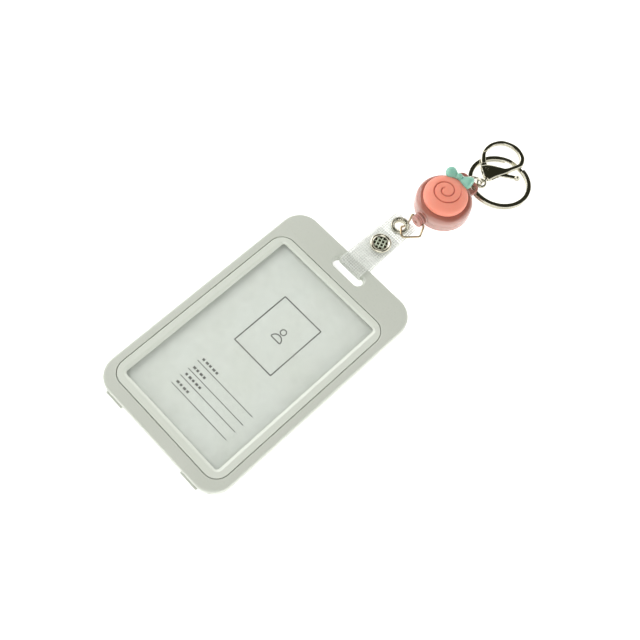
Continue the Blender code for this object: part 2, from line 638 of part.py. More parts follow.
def make_rings():
    centre = point(*JUMP_CENTRE)
    count = 28
    loop = [centre + (JUMP_HEADING * math.cos(2 * math.pi * i / count)
                      + Vector((0, 0, 1)) * math.sin(2 * math.pi * i / count)) * JUMP_R * MM
            for i in range(count)]
    ring = wire("jump_ring", loop, JUMP_WIRE_R, cyclic=True)
    set_origin(ring, reel_point(0, (LUG_SLOT_OUT + LUG_OUT) / 2, (LUG_Z0 + LUG_Z1) / 2))
    adopt(ring, "jump_ring", NICKEL)

    half = KEY_T / 2
    key = turned("key_ring", [(KEY_R - KEY_W, half - 0.3), (KEY_R - KEY_W + 0.4, half), (KEY_R - 0.4, half),
                              (KEY_R, half - 0.3), (KEY_R, 0.3 - half), (KEY_R - 0.4, -half),
                              (KEY_R - KEY_W + 0.4, -half), (KEY_R - KEY_W, 0.3 - half)],
                 point(*KEY_CENTRE), 56, KEY_NORMAL, loop=True)
    adopt(key, "key_ring", NICKEL)


def make_swivel():
    """Eye on the jump ring, with a stem that turns in the clasp's body."""
    eye = turned("swivel_eye", [(EYE_HOLE_R, 0.45), (EYE_HOLE_R + 0.3, 0.7), (EYE_R - 0.3, 0.7),
                                (EYE_R, 0.4),
                                (EYE_R, -0.4), (EYE_R - 0.3, -0.7), (EYE_HOLE_R + 0.3, -0.7),
                                (EYE_HOLE_R, -0.45)],
                 point(EYE_X, EYE_Y, CLASP_Z), 28, loop=True)
    stem = turned("stem", [(0, 4.8), (0.7, 4.8), (0.7, 1.6), (0, 1.6)],
                  point(EYE_X, EYE_Y, CLASP_Z), 20, (0, 1, 0))
    adopt(union(eye, stem), "swivel_eye", NICKEL)


def make_clasp_hook():
    """Cast hook: a broad wedge at the swivel runs up one side and curls over to the gate's nose."""
    outer = [(8.3, 179.5), (10.9, 179.6), (12.2, 183.6), (14.0, 188.2), (14.6, 190.9), (16.0, 195.0),
             (15.9, 197.0), (14.1, 199.9), (11.0, 201.5), (8.0, FAR_Y), (5.0, 201.3), (1.2, 199.1),
             (-0.9, 195.3), (-1.4, 192.0), (-0.85, 188.95)]
    inner = [(0.4, 189.9), (0.45, 192.0), (0.75, 194.4), (1.9, 197.2), (4.1, 199.0), (6.6, 199.8),
             (9.2, 199.9), (11.3, 199.1), (13.2, 197.6), (14.0, 195.2), (13.2, 192.2), (12.0, 189.6),
             (9.6, 187.9), (7.0, 186.4), (4.9, 184.6), (3.7, 182.4)]
    outline = smooth_path(outer, 2) + smooth_path(inner, 2)
    hook = plate("clasp_hook", [outline], CLASP_Z - HOOK_HALF_T, CLASP_Z + HOOK_HALF_T, 0.35)
    gate_way = [(2.0, 180.0), (6.0, 180.2), (9.2, 180.7), (12.4, 181.2), (17.0, 182.4), (17.0, 190.4),
                (12.6, 188.6), (9.6, 187.4), (6.0, 186.0), (2.0, 185.5)]
    hook = cut(
        hook,
        plate("gate_way", [gate_way], CLASP_Z - HOOK_SLOT_HALF, CLASP_Z + HOOK_SLOT_HALF),
        cylinder("stem_hole", 1.0, 3.6, point(EYE_X, STEM_BORE_Y, CLASP_Z), (0, 1, 0), 20),
        cylinder("pin_hole", 0.9, 6, point(*PIVOT, CLASP_Z), (0, 0, 1), 20),
    )
    return adopt(hook, "clasp_hook", NICKEL)


def make_gate():
    """Gate arm, pivot eye and thumb lever in one piece, with the lever's ball end."""
    arm = [(0.5, 189.1), (-0.35, 188.4), (0.6, 186.3), (3.3, 182.9), (4.8, 181.6), (6.6, 181.4), (8.4, 182.2),
           (12.0, 184.4), (15.6, 187.1), (18.4, 189.2), (17.6, 190.3), (14.2, 188.0), (11.2, 186.0),
           (8.2, 184.5), (6.4, 184.5), (4.6, 185.3), (2.2, 187.2)]
    gate = plate("clasp_gate", [smooth_path(arm, 2, closed=True)], CLASP_Z - GATE_HALF_T,
                 CLASP_Z + GATE_HALF_T)
    thick = [(0.7, 189.4), (-0.55, 188.35), (0.4, 186.4), (2.1, 184.2), (3.0, 183.6), (4.3, 185.3),
             (3.3, 186.0), (1.6, 187.9)]
    gate = union(
        gate,
        plate("arm", [thick], CLASP_Z - 1.0, CLASP_Z + 1.0, 0.3),
        blob("ball", point(18.4, 189.9, CLASP_Z), (1.25, 1.25, 1.25), 0, 14),
    )
    gate = cut(gate, cylinder("pivot_hole", 0.9, 4, point(*PIVOT, CLASP_Z), (0, 0, 1), 20))
    set_origin(gate, point(*PIVOT, CLASP_Z))
    adopt(gate, "clasp_gate", NICKEL)
    pin = cylinder("gate_pin", 0.6, 2 * HOOK_HALF_T, point(*PIVOT, CLASP_Z), (0, 0, 1), 20)
    adopt(pin, "gate_pin", NICKEL)
    leaf = smooth_path([(5.7, 185.9), (7.2, 186.0), (8.7, 185.4), (10.0, 186.1), (11.4, 187.1)], 3)
    obj = wire("gate_spring", [point(x, y, CLASP_Z) for x, y in leaf], 0.15)
    adopt(obj, "gate_spring", SPRING_STEEL)


def main():
    clear_scene()
    make_holder_frame()
    make_bezel()
    make_film_and_card()
    make_slide_cover()
    make_strap()
    make_snap()
    make_eyelet()
    make_wire_loop()
    make_bead_and_cord()
    make_case()
    make_topper()
    make_bow()
    make_spool()
    make_power_spring()
    make_rings()
    make_swivel()
    make_clasp_hook()
    make_gate()


main()
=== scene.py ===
"""Looks of the badge reel: finer shapes, materials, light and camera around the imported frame.

Sizes are in millimetres in a frame whose y starts at the holder's near edge, as in the CAD source.
point() turns them into the row frame's metres.
"""

import math

import bmesh
import bpy
from mathutils import Matrix, Vector


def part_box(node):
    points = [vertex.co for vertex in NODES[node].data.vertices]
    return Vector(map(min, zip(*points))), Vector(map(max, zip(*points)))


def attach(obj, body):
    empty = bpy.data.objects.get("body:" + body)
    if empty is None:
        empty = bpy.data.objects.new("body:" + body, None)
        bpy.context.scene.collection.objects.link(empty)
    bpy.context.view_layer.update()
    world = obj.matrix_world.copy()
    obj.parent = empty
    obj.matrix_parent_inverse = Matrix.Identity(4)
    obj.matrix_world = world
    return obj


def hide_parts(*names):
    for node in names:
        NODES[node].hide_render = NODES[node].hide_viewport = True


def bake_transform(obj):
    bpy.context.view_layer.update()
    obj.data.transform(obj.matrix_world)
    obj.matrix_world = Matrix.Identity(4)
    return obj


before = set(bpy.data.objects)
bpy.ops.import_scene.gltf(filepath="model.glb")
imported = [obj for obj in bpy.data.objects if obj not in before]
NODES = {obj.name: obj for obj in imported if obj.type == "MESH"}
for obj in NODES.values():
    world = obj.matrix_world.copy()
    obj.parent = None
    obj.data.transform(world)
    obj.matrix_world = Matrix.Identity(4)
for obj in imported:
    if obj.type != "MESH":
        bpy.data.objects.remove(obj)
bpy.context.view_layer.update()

MM = 0.001
NEAR_Y, FAR_Y = -0.7, 202.0
MID_Y = (NEAR_Y + FAR_Y) / 2

# Holder
HOLDER_W, HOLDER_L, HOLDER_T, HOLDER_R = 68.4, 110.3, 4.8, 9.5
EDGE_R = 1.0
SLOT_X, SLOT_HALF, SLOT_Y0, SLOT_Y1 = 0.8, 8.0, 101.2, 106.1
BAR_BOTTOM = 1.2
BEZEL_HALF, BEZEL_Y0, BEZEL_Y1, BEZEL_R = 30.3, 5.5, 96.2, 6.2
OPENING_HALF, OPENING_Y0, OPENING_Y1, OPENING_R = 26.3, 9.5, 93.1, 1.3
LEDGE_Z0, LEDGE_Z1 = 3.15, 3.7
POCKET_HALF, POCKET_Y1, POCKET_TOP = 31.3, 97.0, 2.55
LIP_HALF, LIP_TOP = 29.6, 0.45
CARD_TOP = 2.3

# Strap
STRAP_X, STRAP_HALF, STRAP_T = 0.3, 6.0, 0.6
STRAP_END_Y, STRAP_END_R = 140.2, 3.0
SNAP_X, SNAP_Y, SNAP_R = 1.0, 122.4, 4.55
BAND_Z, SNAP_FLAP_Z = 1.9, 4.6  # heights of the band and the flap at the snap
FLAP_Y = 115.6                  # where the flap starts
RIDGES = (112.0, 113.3)         # pressed lines across the strap
THREAD_PITCH, THREAD_R = 1.0, 0.14
EYELET_X, EYELET_Y, EYELET_Z = 0.1, 135.5, 3.0

# Reel
REEL_X, REEL_Y, REEL_LEAN = 4.75, 157.4, math.radians(5)
CASE_R, CASE_INNER_R, CASE_H, CASE_SEAM = 12.27, 11.17, 7.5, 3.6
CORD_Z, CORD_R = 3.6, 0.35
COLLAR_R, COLLAR_REACH = 3.3, 12.65
TOPPER_R, TOPPER_Z0, TOPPER_SIDE, TOPPER_TOP = 9.5, 7.8, 9.5, 12.2
BOW_LEAN = math.radians(-11)
BEAD_R, BEAD_BACK, BEAD_L = 2.75, 12.95, 2.9

# Rings and clasp
JUMP_CENTRE, JUMP_R, JUMP_WIRE_R = (6.6, 173.55, 4.6), 4.0, 0.55
JUMP_HEADING = Vector((0.75, 0.66, 0.0)).normalized()
KEY_CENTRE, KEY_R, KEY_W = (14.1, 183.7, 2.75), 13.97, 1.9
KEY_NORMAL = Vector((-0.05, 0.11, 1.0)).normalized()
EYE_X, EYE_Y, CLASP_Z = 9.6, 176.2, 4.6
PIVOT = (6.6, 182.9)

UP = Vector((0, 0, 1))


# ---------------------------------------------------------------- places and paths

def point(x, y, z):
    """A place in the millimetre frame, as metres in the row frame."""
    return Vector((x, y - MID_Y, z)) * MM


def reel_point(across, along, z, lean=REEL_LEAN):
    """A place across and along a direction from the reel's axis: the chain's, unless lean is given."""
    s, c = math.sin(lean), math.cos(lean)
    return point(REEL_X + along * s + across * c, REEL_Y + along * c - across * s, z)


CHAIN = (reel_point(0, -1, 0) - reel_point(0, 0, 0)).normalized()     # from the reel out along the cord


def rounded_rect(x0, x1, y0, y1, r, steps=12):
    """Outline of a rectangle with round corners, anticlockwise."""
    out = []
    corners = ((x1 - r, y1 - r, 0), (x0 + r, y1 - r, 90), (x0 + r, y0 + r, 180), (x1 - r, y0 + r, 270))
    for cx, cy, start in corners:
        for i in range(steps + 1):
            a = math.radians(start + 90 * i / steps)
            out.append(Vector((cx + r * math.cos(a), cy + r * math.sin(a))))
    return out


def soften(points, radius, steps=3, closed=False):
    """The same outline with each corner swapped for a short curve."""
    count = len(points)
    out = []
    for i in range(count):
        p = Vector(points[i])
        if not closed and i in (0, count - 1):
            out.append(p)
            continue
        back, ahead = Vector(points[i - 1]) - p, Vector(points[(i + 1) % count]) - p
        reach = min(radius, back.length * 0.45, ahead.length * 0.45)
        start, end = p + back.normalized() * reach, p + ahead.normalized() * reach
        for k in range(steps + 1):
            t = k / steps
            out.append(start * (1 - t) ** 2 + p * (2 * t * (1 - t)) + end * t ** 2)
    return out


def smooth_path(points, steps, closed=False):
    """Catmull-Rom curve through points of any dimension, with steps pieces per span."""
    count = len(points)

    def pick(i):
        return Vector(points[i % count] if closed else points[min(max(i, 0), count - 1)])

    out = []
    for i in range(count if closed else count - 1):
        a, b, c, d = (pick(i + k) for k in (-1, 0, 1, 2))
        for k in range(steps):
            t = k / steps
            out.append(0.5 * (2 * b + (c - a) * t + (2 * a - 5 * b + 4 * c - d) * t ** 2
                              + (3 * b - a - 3 * c + d) * t ** 3))
    if not closed:
        out.append(pick(count - 1))
    return out


def circle(radius, sides=12):
    """A round section for sweep()."""
    return [(radius * math.cos(2 * math.pi * i / sides), radius * math.sin(2 * math.pi * i / sides))
            for i in range(sides)]


# ---------------------------------------------------------------- mesh building

def link(name, mesh):
    obj = bpy.data.objects.new(name, mesh)
    bpy.context.scene.collection.objects.link(obj)
    return obj


def skin(name, rows, around=True, along=False, caps=False):
    """A surface over rows of points: around closes each row, along joins the last row to the first."""
    n, m = len(rows), len(rows[0])
    bm = bmesh.new()
    grid = [[bm.verts.new(p) for p in row] for row in rows]
    for i in range(n if along else n - 1):
        for j in range(m if around else m - 1):
            k, low, high = (j + 1) % m, grid[i], grid[(i + 1) % n]
            bm.faces.new((low[j], low[k], high[k], high[j]))
    if caps:
        bm.faces.new(grid[0])
        bm.faces.new(grid[-1])
    bmesh.ops.remove_doubles(bm, verts=bm.verts, dist=1e-7)
    bmesh.ops.recalc_face_normals(bm, faces=bm.faces)
    mesh = bpy.data.meshes.new(name)
    bm.to_mesh(mesh)
    bm.free()
    return link(name, mesh)


def lathe(name, profile, centre, axis=UP, steps=72, loop=False, shape=None):
    """A turned piece. The profile is (radius, height) in millimetres; shape(angle, r, h) may alter it."""
    turn = UP.rotation_difference(Vector(axis)).to_matrix()
    rows = []
    for i in range(steps):
        a = 2 * math.pi * i / steps
        row = []
        for r, h in profile:
            if shape:
                r, h = shape(a, r, h)
            row.append(centre + turn @ Vector((r * math.cos(a), r * math.sin(a), h)) * MM)
        rows.append(row)
    return skin(name, rows, around=loop, along=True)


def sweep(name, path, section, up=UP, closed=False, size=None, twist=0.0, level=False):
    """Carries a section of (side, up) millimetres along a path in metres; size(share) may scale it.

    The section turns with the path, or keeps its up direction if level.
    """
    count = len(path)
    rows, last, normal = [], None, Vector(up)
    for i, p in enumerate(path):
        ahead = path[(i + 1) % count] if closed or i + 1 < count else p
        behind = path[i - 1] if closed or i else p
        tangent = (ahead - behind).normalized()
        if level:
            normal = Vector(up)
        elif last is not None:
            normal = last.rotation_difference(tangent) @ normal
        last = tangent
        normal = (normal - tangent * normal.dot(tangent)).normalized()
        side = tangent.cross(normal)
        k = size(i / (count - 1)) if size else 1.0
        c, s = math.cos(twist * i), math.sin(twist * i)
        rows.append([p + (side * (a * c - b * s) + normal * (a * s + b * c)) * k * MM for a, b in section])
    return skin(name, rows, along=closed, caps=not closed)


def evaluated(obj):
    """Replaces an object by its evaluated, welded mesh."""
    bpy.context.view_layer.update()
    mesh = bpy.data.meshes.new_from_object(obj.evaluated_get(bpy.context.evaluated_depsgraph_get()))
    mesh.transform(obj.matrix_world)
    name = obj.name
    bpy.data.objects.remove(obj, do_unlink=True)
    bm = bmesh.new()
    bm.from_mesh(mesh)
    bmesh.ops.remove_doubles(bm, verts=bm.verts, dist=1e-7)
    bmesh.ops.recalc_face_normals(bm, faces=bm.faces)
    bm.to_mesh(mesh)
    bm.free()
    return link(name, mesh)


def slab(name, outlines, z0, z1, edge=0.0, steps=3):
    """A flat piece from an outline and its holes, with rounded edges."""
    data = bpy.data.curves.new(name, "CURVE")
    data.dimensions = "2D"
    data.fill_mode = "BOTH"
    for outline in outlines:
        spline = data.splines.new("POLY")
        spline.points.add(len(outline) - 1)
        for target, (x, y) in zip(spline.points, outline):
            target.co = (x * MM, (y - MID_Y) * MM, 0.0, 1.0)
        spline.use_cyclic_u = True
    data.extrude = ((z1 - z0) / 2 - edge) * MM
    if edge:
        data.bevel_depth = edge * MM
        data.bevel_resolution = steps
        data.offset = -edge * MM
    obj = bpy.data.objects.new(name, data)
    bpy.context.scene.collection.objects.link(obj)
    obj.location.z = (z0 + z1) / 2 * MM
    return evaluated(obj)


def block(name, x0, x1, y0, y1, z0, z1):
    """A plain block, used only to cut with."""
    return slab(name, [[(x0, y0), (x1, y0), (x1, y1), (x0, y1)]], z0, z1)


def rod(name, radius, length, centre, axis=UP, steps=32):
    """A plain rod, used to cut with or as a core."""
    half = length / 2
    return lathe(name, [(0, -half), (radius, -half), (radius, half), (0, half)], centre, axis, steps)


def combine(obj, others, operation):
    for other in others:
        mod = obj.modifiers.new("combine", "BOOLEAN")
        mod.operation = operation
        mod.solver = "EXACT"
        mod.object = other
        obj = evaluated(obj)
        bpy.data.objects.remove(other, do_unlink=True)
    return obj


def cut(obj, *others):
    return combine(obj, others, "DIFFERENCE")


def union(obj, *others):
    return combine(obj, others, "UNION")


def join(name, objs):
    """Several loose meshes as one piece."""
    bm = bmesh.new()
    for obj in objs:
        bm.from_mesh(obj.data)
        bpy.data.objects.remove(obj, do_unlink=True)
    mesh = bpy.data.meshes.new(name)
    bm.to_mesh(mesh)
    bm.free()
    return link(name, mesh)


def dress(obj, material, smooth=35, even=True):
    """Gives a mesh its material and shading; even keeps flat faces flat beside rounded edges."""
    obj.data.materials.clear()
    obj.data.materials.append(material)
    obj.data.shade_smooth()
    obj.data.set_sharp_from_angle(angle=math.radians(smooth))
    if even:
        mod = obj.modifiers.new("normals", "WEIGHTED_NORMAL")
        mod.keep_sharp = True
        mod.weight = 50
    return obj


def piece(obj, name, body, material, stands_for=(), smooth=35, even=True):
    """Finishes a new piece: name, material, the body it rides on, and the CAD nodes it stands for."""
    obj.name = obj.data.name = name
    dress(obj, material, smooth, even)
    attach(obj, body)
    if stands_for:
        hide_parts(*stands_for)
    return obj


# ---------------------------------------------------------------- materials

class Surface:
    """A Principled material with mottled colour, uneven roughness and a fine bump."""

    def __init__(self, name, colour, second, mottle=4.0, rough=(0.3, 0.4), grain=0.35, bump=0.1, depth=0.02,
                 **sockets):
        self.material = bpy.data.materials.new(name)
        self.material.use_nodes = True
        self.tree = self.material.node_tree
        self.shader = self.tree.nodes["Principled BSDF"]
        self.coords = self.node("ShaderNodeTexCoord").outputs["Object"]
        for key, value in sockets.items():
            self.shader.inputs[key.replace("_", " ")].default_value = value
        self.colour = self.mix(self.noise(mottle, 3), (*colour, 1), (*second, 1))
        self.grain = self.noise(grain, 2)
        self.rough = self.remap(self.grain, 0.3, 0.7, *rough)
        self.height = self.grain
        self.bump = (bump, depth)

    def node(self, kind, **settings):
        made = self.tree.nodes.new(kind)
        for key, value in settings.items():
            setattr(made, key, value)
        return made

    def link(self, source, target):
        self.tree.links.new(source, target)

    def noise(self, size, detail=2.0, stretch=(1, 1, 1)):
        """Noise whose features are about size millimetres."""
        made = self.node("ShaderNodeTexNoise")
        made.inputs["Scale"].default_value = 1 / (size * MM)
        made.inputs["Detail"].default_value = detail
        if stretch == (1, 1, 1):
            self.link(self.coords, made.inputs["Vector"])
        else:
            turn = self.node("ShaderNodeMapping")
            turn.inputs["Scale"].default_value = stretch
            self.link(self.coords, turn.inputs["Vector"])
            self.link(turn.outputs["Vector"], made.inputs["Vector"])
        return made.outputs["Fac"]

    def remap(self, value, low, high, to_low, to_high):
        made = self.node("ShaderNodeMapRange")
        self.link(value, made.inputs["Value"])
        for key, number in zip(("From Min", "From Max", "To Min", "To Max"), (low, high, to_low, to_high)):
            made.inputs[key].default_value = number
        return made.outputs["Result"]

    def mix(self, factor, a, b):
        """A colour between a and b, each a socket or a colour."""
        made = self.node("ShaderNodeMix", data_type="RGBA")
        self.link(factor, made.inputs["Factor"])
        for key, value in (("A", a), ("B", b)):
            socket = next(s for s in made.inputs if s.name == key and s.type == "RGBA")
            if isinstance(value, tuple):
                socket.default_value = value
            else:
                self.link(value, socket)
        return next(s for s in made.outputs if s.type == "RGBA")

    def math(self, operation, a, b):
        made = self.node("ShaderNodeMath", operation=operation)
        for socket, value in zip(made.inputs, (a, b)):
            if isinstance(value, (int, float)):
                socket.default_value = value
            else:
                self.link(value, socket)
        return made.outputs["Value"]

    def position(self, axis):
        """A coordinate in millimetres."""
        split = self.node("ShaderNodeSeparateXYZ")
        self.link(self.coords, split.inputs["Vector"])
        return self.math("MULTIPLY", split.outputs[axis], 1 / MM)

    def edges(self, low=0.52, high=0.62):
        """0 on flat stretches and 1 on convex edges: the mask for painted edge highlights."""
        return self.remap(self.node("ShaderNodeNewGeometry").outputs["Pointiness"], low, high, 0.0, 1.0)

    def attribute(self, name):
        return self.node("ShaderNodeAttribute", attribute_name=name).outputs["Fac"]

    def done(self):
        self.link(self.colour, self.shader.inputs["Base Color"])
        self.link(self.rough, self.shader.inputs["Roughness"])
        strength, depth = self.bump
        if strength:
            made = self.node("ShaderNodeBump")
            made.inputs["Strength"].default_value = strength
            made.inputs["Distance"].default_value = depth * MM
            self.link(self.height, made.inputs["Height"])
            self.link(made.outputs["Normal"], self.shader.inputs["Normal"])
        return self.material


def make_materials():
    """All the finishes, by name."""
    made = {}
    abs_ = Surface("abs_grey", (0.56, 0.59, 0.52), (0.61, 0.63, 0.57), 26.0, (0.26, 0.34), 0.6, 0.015, 0.02,
                   Specular_IOR_Level=0.5)
    # Painted highlight: the frame's convex edges are made paler, standing in for light caught on its rounded
    # rims.
    abs_.colour = abs_.mix(abs_.edges(), abs_.colour, (0.74, 0.76, 0.70, 1))
    made["abs"] = abs_.done()

    bezel = Surface("bezel_grey", (0.68, 0.72, 0.64), (0.72, 0.75, 0.68), 18.0, (0.16, 0.24), 0.5, 0.04,
                    Coat_Weight=0.3, Coat_Roughness=0.12)
    made["bezel"] = bezel.done()

    film = Surface("window_film", (0.86, 0.89, 0.80), (0.92, 0.93, 0.88), 12.0, (0.05, 0.12), 1.5, 0.03)
    film.link(film.remap(film.noise(16.0, 4), 0.3, 0.75, 0.05, 0.16), film.shader.inputs["Alpha"])
    made["film"] = film.done()

    card = Surface("card_paper", (0.70, 0.75, 0.70), (0.74, 0.78, 0.74), 9.0, (0.5, 0.62), 0.12, 0.12, 0.02)
    made["card"] = card.done()
    made["ink"] = Surface("card_ink", (0.03, 0.033, 0.03), (0.05, 0.055, 0.05), 0.5, (0.45, 0.6), 0.1).done()

    vinyl = Surface("clear_vinyl", (0.93, 0.94, 0.92), (0.97, 0.97, 0.96), 3.0, (0.12, 0.22), 1.2, 0.04,
                    0.03)
    vinyl.link(vinyl.remap(vinyl.noise(2.5, 3), 0.3, 0.7, 0.12, 0.24), vinyl.shader.inputs["Alpha"])
    made["vinyl"] = vinyl.done()
    made["thread"] = Surface("scrim_thread", (0.66, 0.70, 0.64), (0.78, 0.80, 0.75), 0.6, (0.5, 0.7), 0.08,
                             0.3, 0.02, Sheen_Weight=0.2).done()

    nickel = Surface("nickel", (0.54, 0.52, 0.42), (0.60, 0.58, 0.49), 2.5, (0.08, 0.15), 0.25, 0.05, 0.01,
                     Metallic=1.0)
    scratches = nickel.noise(0.12, 2, (1.0, 0.06, 0.3))
    nickel.rough = nickel.math("ADD", nickel.rough, nickel.remap(scratches, 0.62, 0.75, 0.0, 0.08))
    # Painted highlight: convex edges of the metal are made paler, standing in for the bright surroundings
    # they reflect.
    nickel.colour = nickel.mix(nickel.edges(0.53, 0.66), nickel.colour, (0.82, 0.80, 0.72, 1))
    made["nickel"] = nickel.done()

    patina = Surface("nickel_patina", (0.30, 0.34, 0.26), (0.46, 0.50, 0.40), 0.8, (0.22, 0.38), 0.2, 0.1,
                     Metallic=1.0)
    made["patina"] = patina.done()

    wire = Surface("brass_wire", (0.40, 0.32, 0.19), (0.56, 0.48, 0.34), 1.2, (0.14, 0.26), 0.2, 0.05, 0.01,
                   Metallic=1.0)
    made["wire"] = wire.done()

    pink = Surface("reel_pink", (0.47, 0.27, 0.23), (0.53, 0.32, 0.28), 6.0, (0.10, 0.18), 0.6, 0.03, 0.02,
                   Subsurface_Weight=0.25, Subsurface_Scale=0.002, Coat_Weight=0.5, Coat_Roughness=0.08)
    # Painted shade: the case is made darker red from 5.4 to 7.2 mm up, standing in for the topper's shadow
    # and the dark overhead reflected on the rim.
    top = pink.remap(pink.position("Z"), 5.4, 7.2, 0.0, 1.0)
    pink.colour = pink.mix(top, pink.colour, (0.40, 0.16, 0.12, 1))
    pink.shader.inputs["Subsurface Radius"].default_value = (1.0, 0.45, 0.35)
    made["pink"] = pink.done()

    bead = Surface("bead_pink", (0.50, 0.24, 0.20), (0.60, 0.33, 0.29), 1.5, (0.2, 0.32), 0.3, 0.05, 0.02,
                   Subsurface_Weight=0.15, Subsurface_Scale=0.001)
    made["bead"] = bead.done()

    coral = Surface("coral_resin", (0.86, 0.27, 0.18), (0.90, 0.33, 0.24), 5.0, (0.42, 0.55), 0.35, 0.10,
                    0.03, Subsurface_Weight=0.2, Subsurface_Scale=0.0015)
    # Painted shade: the carved spiral groove, given by the groove attribute, is made dark red.
    coral.colour = coral.mix(coral.attribute("groove"), coral.colour, (0.55, 0.10, 0.06, 1))
    made["coral"] = coral.done()

    mint = Surface("mint_resin", (0.20, 0.47, 0.36), (0.27, 0.55, 0.44), 1.6, (0.4, 0.52), 0.3, 0.12, 0.03,
                   Subsurface_Weight=0.15, Subsurface_Scale=0.001)
    # Painted highlight: the bow's convex edges are made paler.
    mint.colour = mint.mix(mint.edges(0.54, 0.64), mint.colour, (0.46, 0.70, 0.58, 1))
    made["mint"] = mint.done()

    made["acetal"] = Surface("white_acetal", (0.78, 0.78, 0.75), (0.84, 0.84, 0.82), 4.0, (0.35, 0.45), 0.4,
                             0.05, 0.02).done()
    steel = Surface("spring_steel", (0.34, 0.36, 0.40), (0.44, 0.46, 0.50), 0.9, (0.2, 0.32), 0.15, 0.08,
                    0.01, Metallic=1.0)
    made["steel"] = steel.done()
    cord = Surface("nylon_cord", (0.80, 0.78, 0.74), (0.90, 0.88, 0.84), 0.5, (0.5, 0.7), 0.06, 0.4, 0.03,
                   Sheen_Weight=0.25)
    made["cord"] = cord.done()
    return made


# ---------------------------------------------------------------- holder, window and card

def hole_walls(rows):
    """A tube through the plate, over loops of (x, y) outline and height."""
    return [[point(x, y, z) for x, y in outline] for outline, z in rows]


def make_holder(looks):
    """The frame with a full round edge, a softened slot, and the bezel's seat."""
    outer = rounded_rect(-HOLDER_W / 2, HOLDER_W / 2, 0, HOLDER_L, HOLDER_R, 16)
    slot_r = (SLOT_Y1 - SLOT_Y0) / 2 - 0.01
    slot = rounded_rect(SLOT_X - SLOT_HALF, SLOT_X + SLOT_HALF, SLOT_Y0, SLOT_Y1, slot_r, 12)
    shell = slab("holder_shell", [outer, slot], 0, HOLDER_T, EDGE_R, 4)
    gap = 0.3
    seat_rows = []
    for spread, z in ((0.55, 6.0), (0.3, HOLDER_T + 0.02), (0.08, HOLDER_T - 0.12), (0.0, HOLDER_T - 0.3),
                      (0.0, LEDGE_Z1)):
        o = gap + spread
        seat_rows.append((rounded_rect(-BEZEL_HALF - o, BEZEL_HALF + o, BEZEL_Y0 - o, BEZEL_Y1 + o,
                                       BEZEL_R + o), z))
    seat = skin("seat", hole_walls(seat_rows), caps=True)
    shell = cut(
        shell,
        block("mouth", -LIP_HALF, LIP_HALF, -5, POCKET_Y1, -1, POCKET_TOP),
        block("channel", -POCKET_HALF, POCKET_HALF, -5, POCKET_Y1, LIP_TOP, POCKET_TOP),
        block("film_seat", -29.5, 29.5, 7.0, 96.5, POCKET_TOP - 0.5, LEDGE_Z0),
        block("window", -26.6, 26.6, 9.2, 93.4, 2.0, 6.0),
        seat,
        block("strap_relief", SLOT_X - 8.4, SLOT_X + 8.4, SLOT_Y0 + 1, HOLDER_L + 5, -1, BAR_BOTTOM),
    )
    piece(shell, "holder_shell", "holder", looks["abs"], ["holder_frame"], 30)


def bezel_loop(inward):
    """The bezel's outline a given distance in from its outer edge."""
    share = inward / (BEZEL_HALF - OPENING_HALF)
    y0 = BEZEL_Y0 + (OPENING_Y0 - BEZEL_Y0) * share
    y1 = BEZEL_Y1 + (OPENING_Y1 - BEZEL_Y1) * share
    half = BEZEL_HALF - inward
    return rounded_rect(-half, half, y0, y1, BEZEL_R + (OPENING_R - BEZEL_R) * share)


def make_bezel(looks):
    """Trim ring: flat on top, rounded at the groove, and sloping down to the window."""
    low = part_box("window_bezel")[0].z / MM
    profile = [(0.0, low), (0.0, HOLDER_T), (2.75, HOLDER_T), (3.85, low + 0.18), (4.0, low)]
    rows = [[point(x, y, z) for x, y in bezel_loop(max(inward, 0.0))]
            for inward, z in soften(profile, 0.3, 4, True)]
    obj = skin("bezel_ring", rows, along=True)
    piece(obj, "bezel_ring", "holder", looks["bezel"], ["window_bezel"], 50)


def stroke(path, width, z):
    """An ink line on the card through (x, y) points."""
    half, thick = width / 2, 0.012
    section = [(-half, -thick), (half, -thick), (half, thick), (-half, thick)]
    closed = path[0] == path[-1]
    places = [point(x, y, z) for x, y in (path[:-1] if closed else path)]
    return sweep("stroke", places, section, closed=closed)


def make_card_print(looks):
    """Generic print: an empty photo box with a head-and-shoulders mark, and four ruled lines with labels."""
    z = CARD_TOP + 0.02
    strokes = []
    left, right, low, high = -8.8, 12.0, 50.0, 77.5
    mark_y = 0.9                # the mark sits a little above the box's middle
    corners = ((left, low), (right, low), (right, high), (left, high))
    for i, (x, y) in enumerate(corners):
        strokes.append(stroke([(x, y), corners[(i + 1) % 4]], 0.5, z))
    cx, cy = (left + right) / 2 + 0.6, (low + high) / 2 + mark_y
    ring = [(cx + 1.25 * math.cos(a), cy + 1.5 + 1.25 * math.sin(a))
            for a in (2 * math.pi * i / 24 for i in range(24))]
    strokes.append(stroke(ring + ring[:1], 0.5, z))
    arch = [(cx + 2.5 * math.cos(a), cy - 3.0 + 2.5 * math.sin(a))
            for a in (math.pi * i / 16 for i in range(17))]
    strokes.append(stroke(arch + arch[:1], 0.5, z))
    for n, y in enumerate((33.5, 28.7, 24.7, 20.2)):
        strokes.append(stroke([(-12.0, y), (19.7, y)], 0.3, z))
        for k in range(5 - n % 2):
            x = -11.0 + k * 1.9
            strokes.append(stroke([(x, y + 1.9), (x + 1.1 + 0.3 * ((k + n) % 2), y + 1.9)], 1.0, z))
    piece(join("card_print", strokes), "card_print", "tray", looks["ink"], even=False)


# ---------------------------------------------------------------- strap

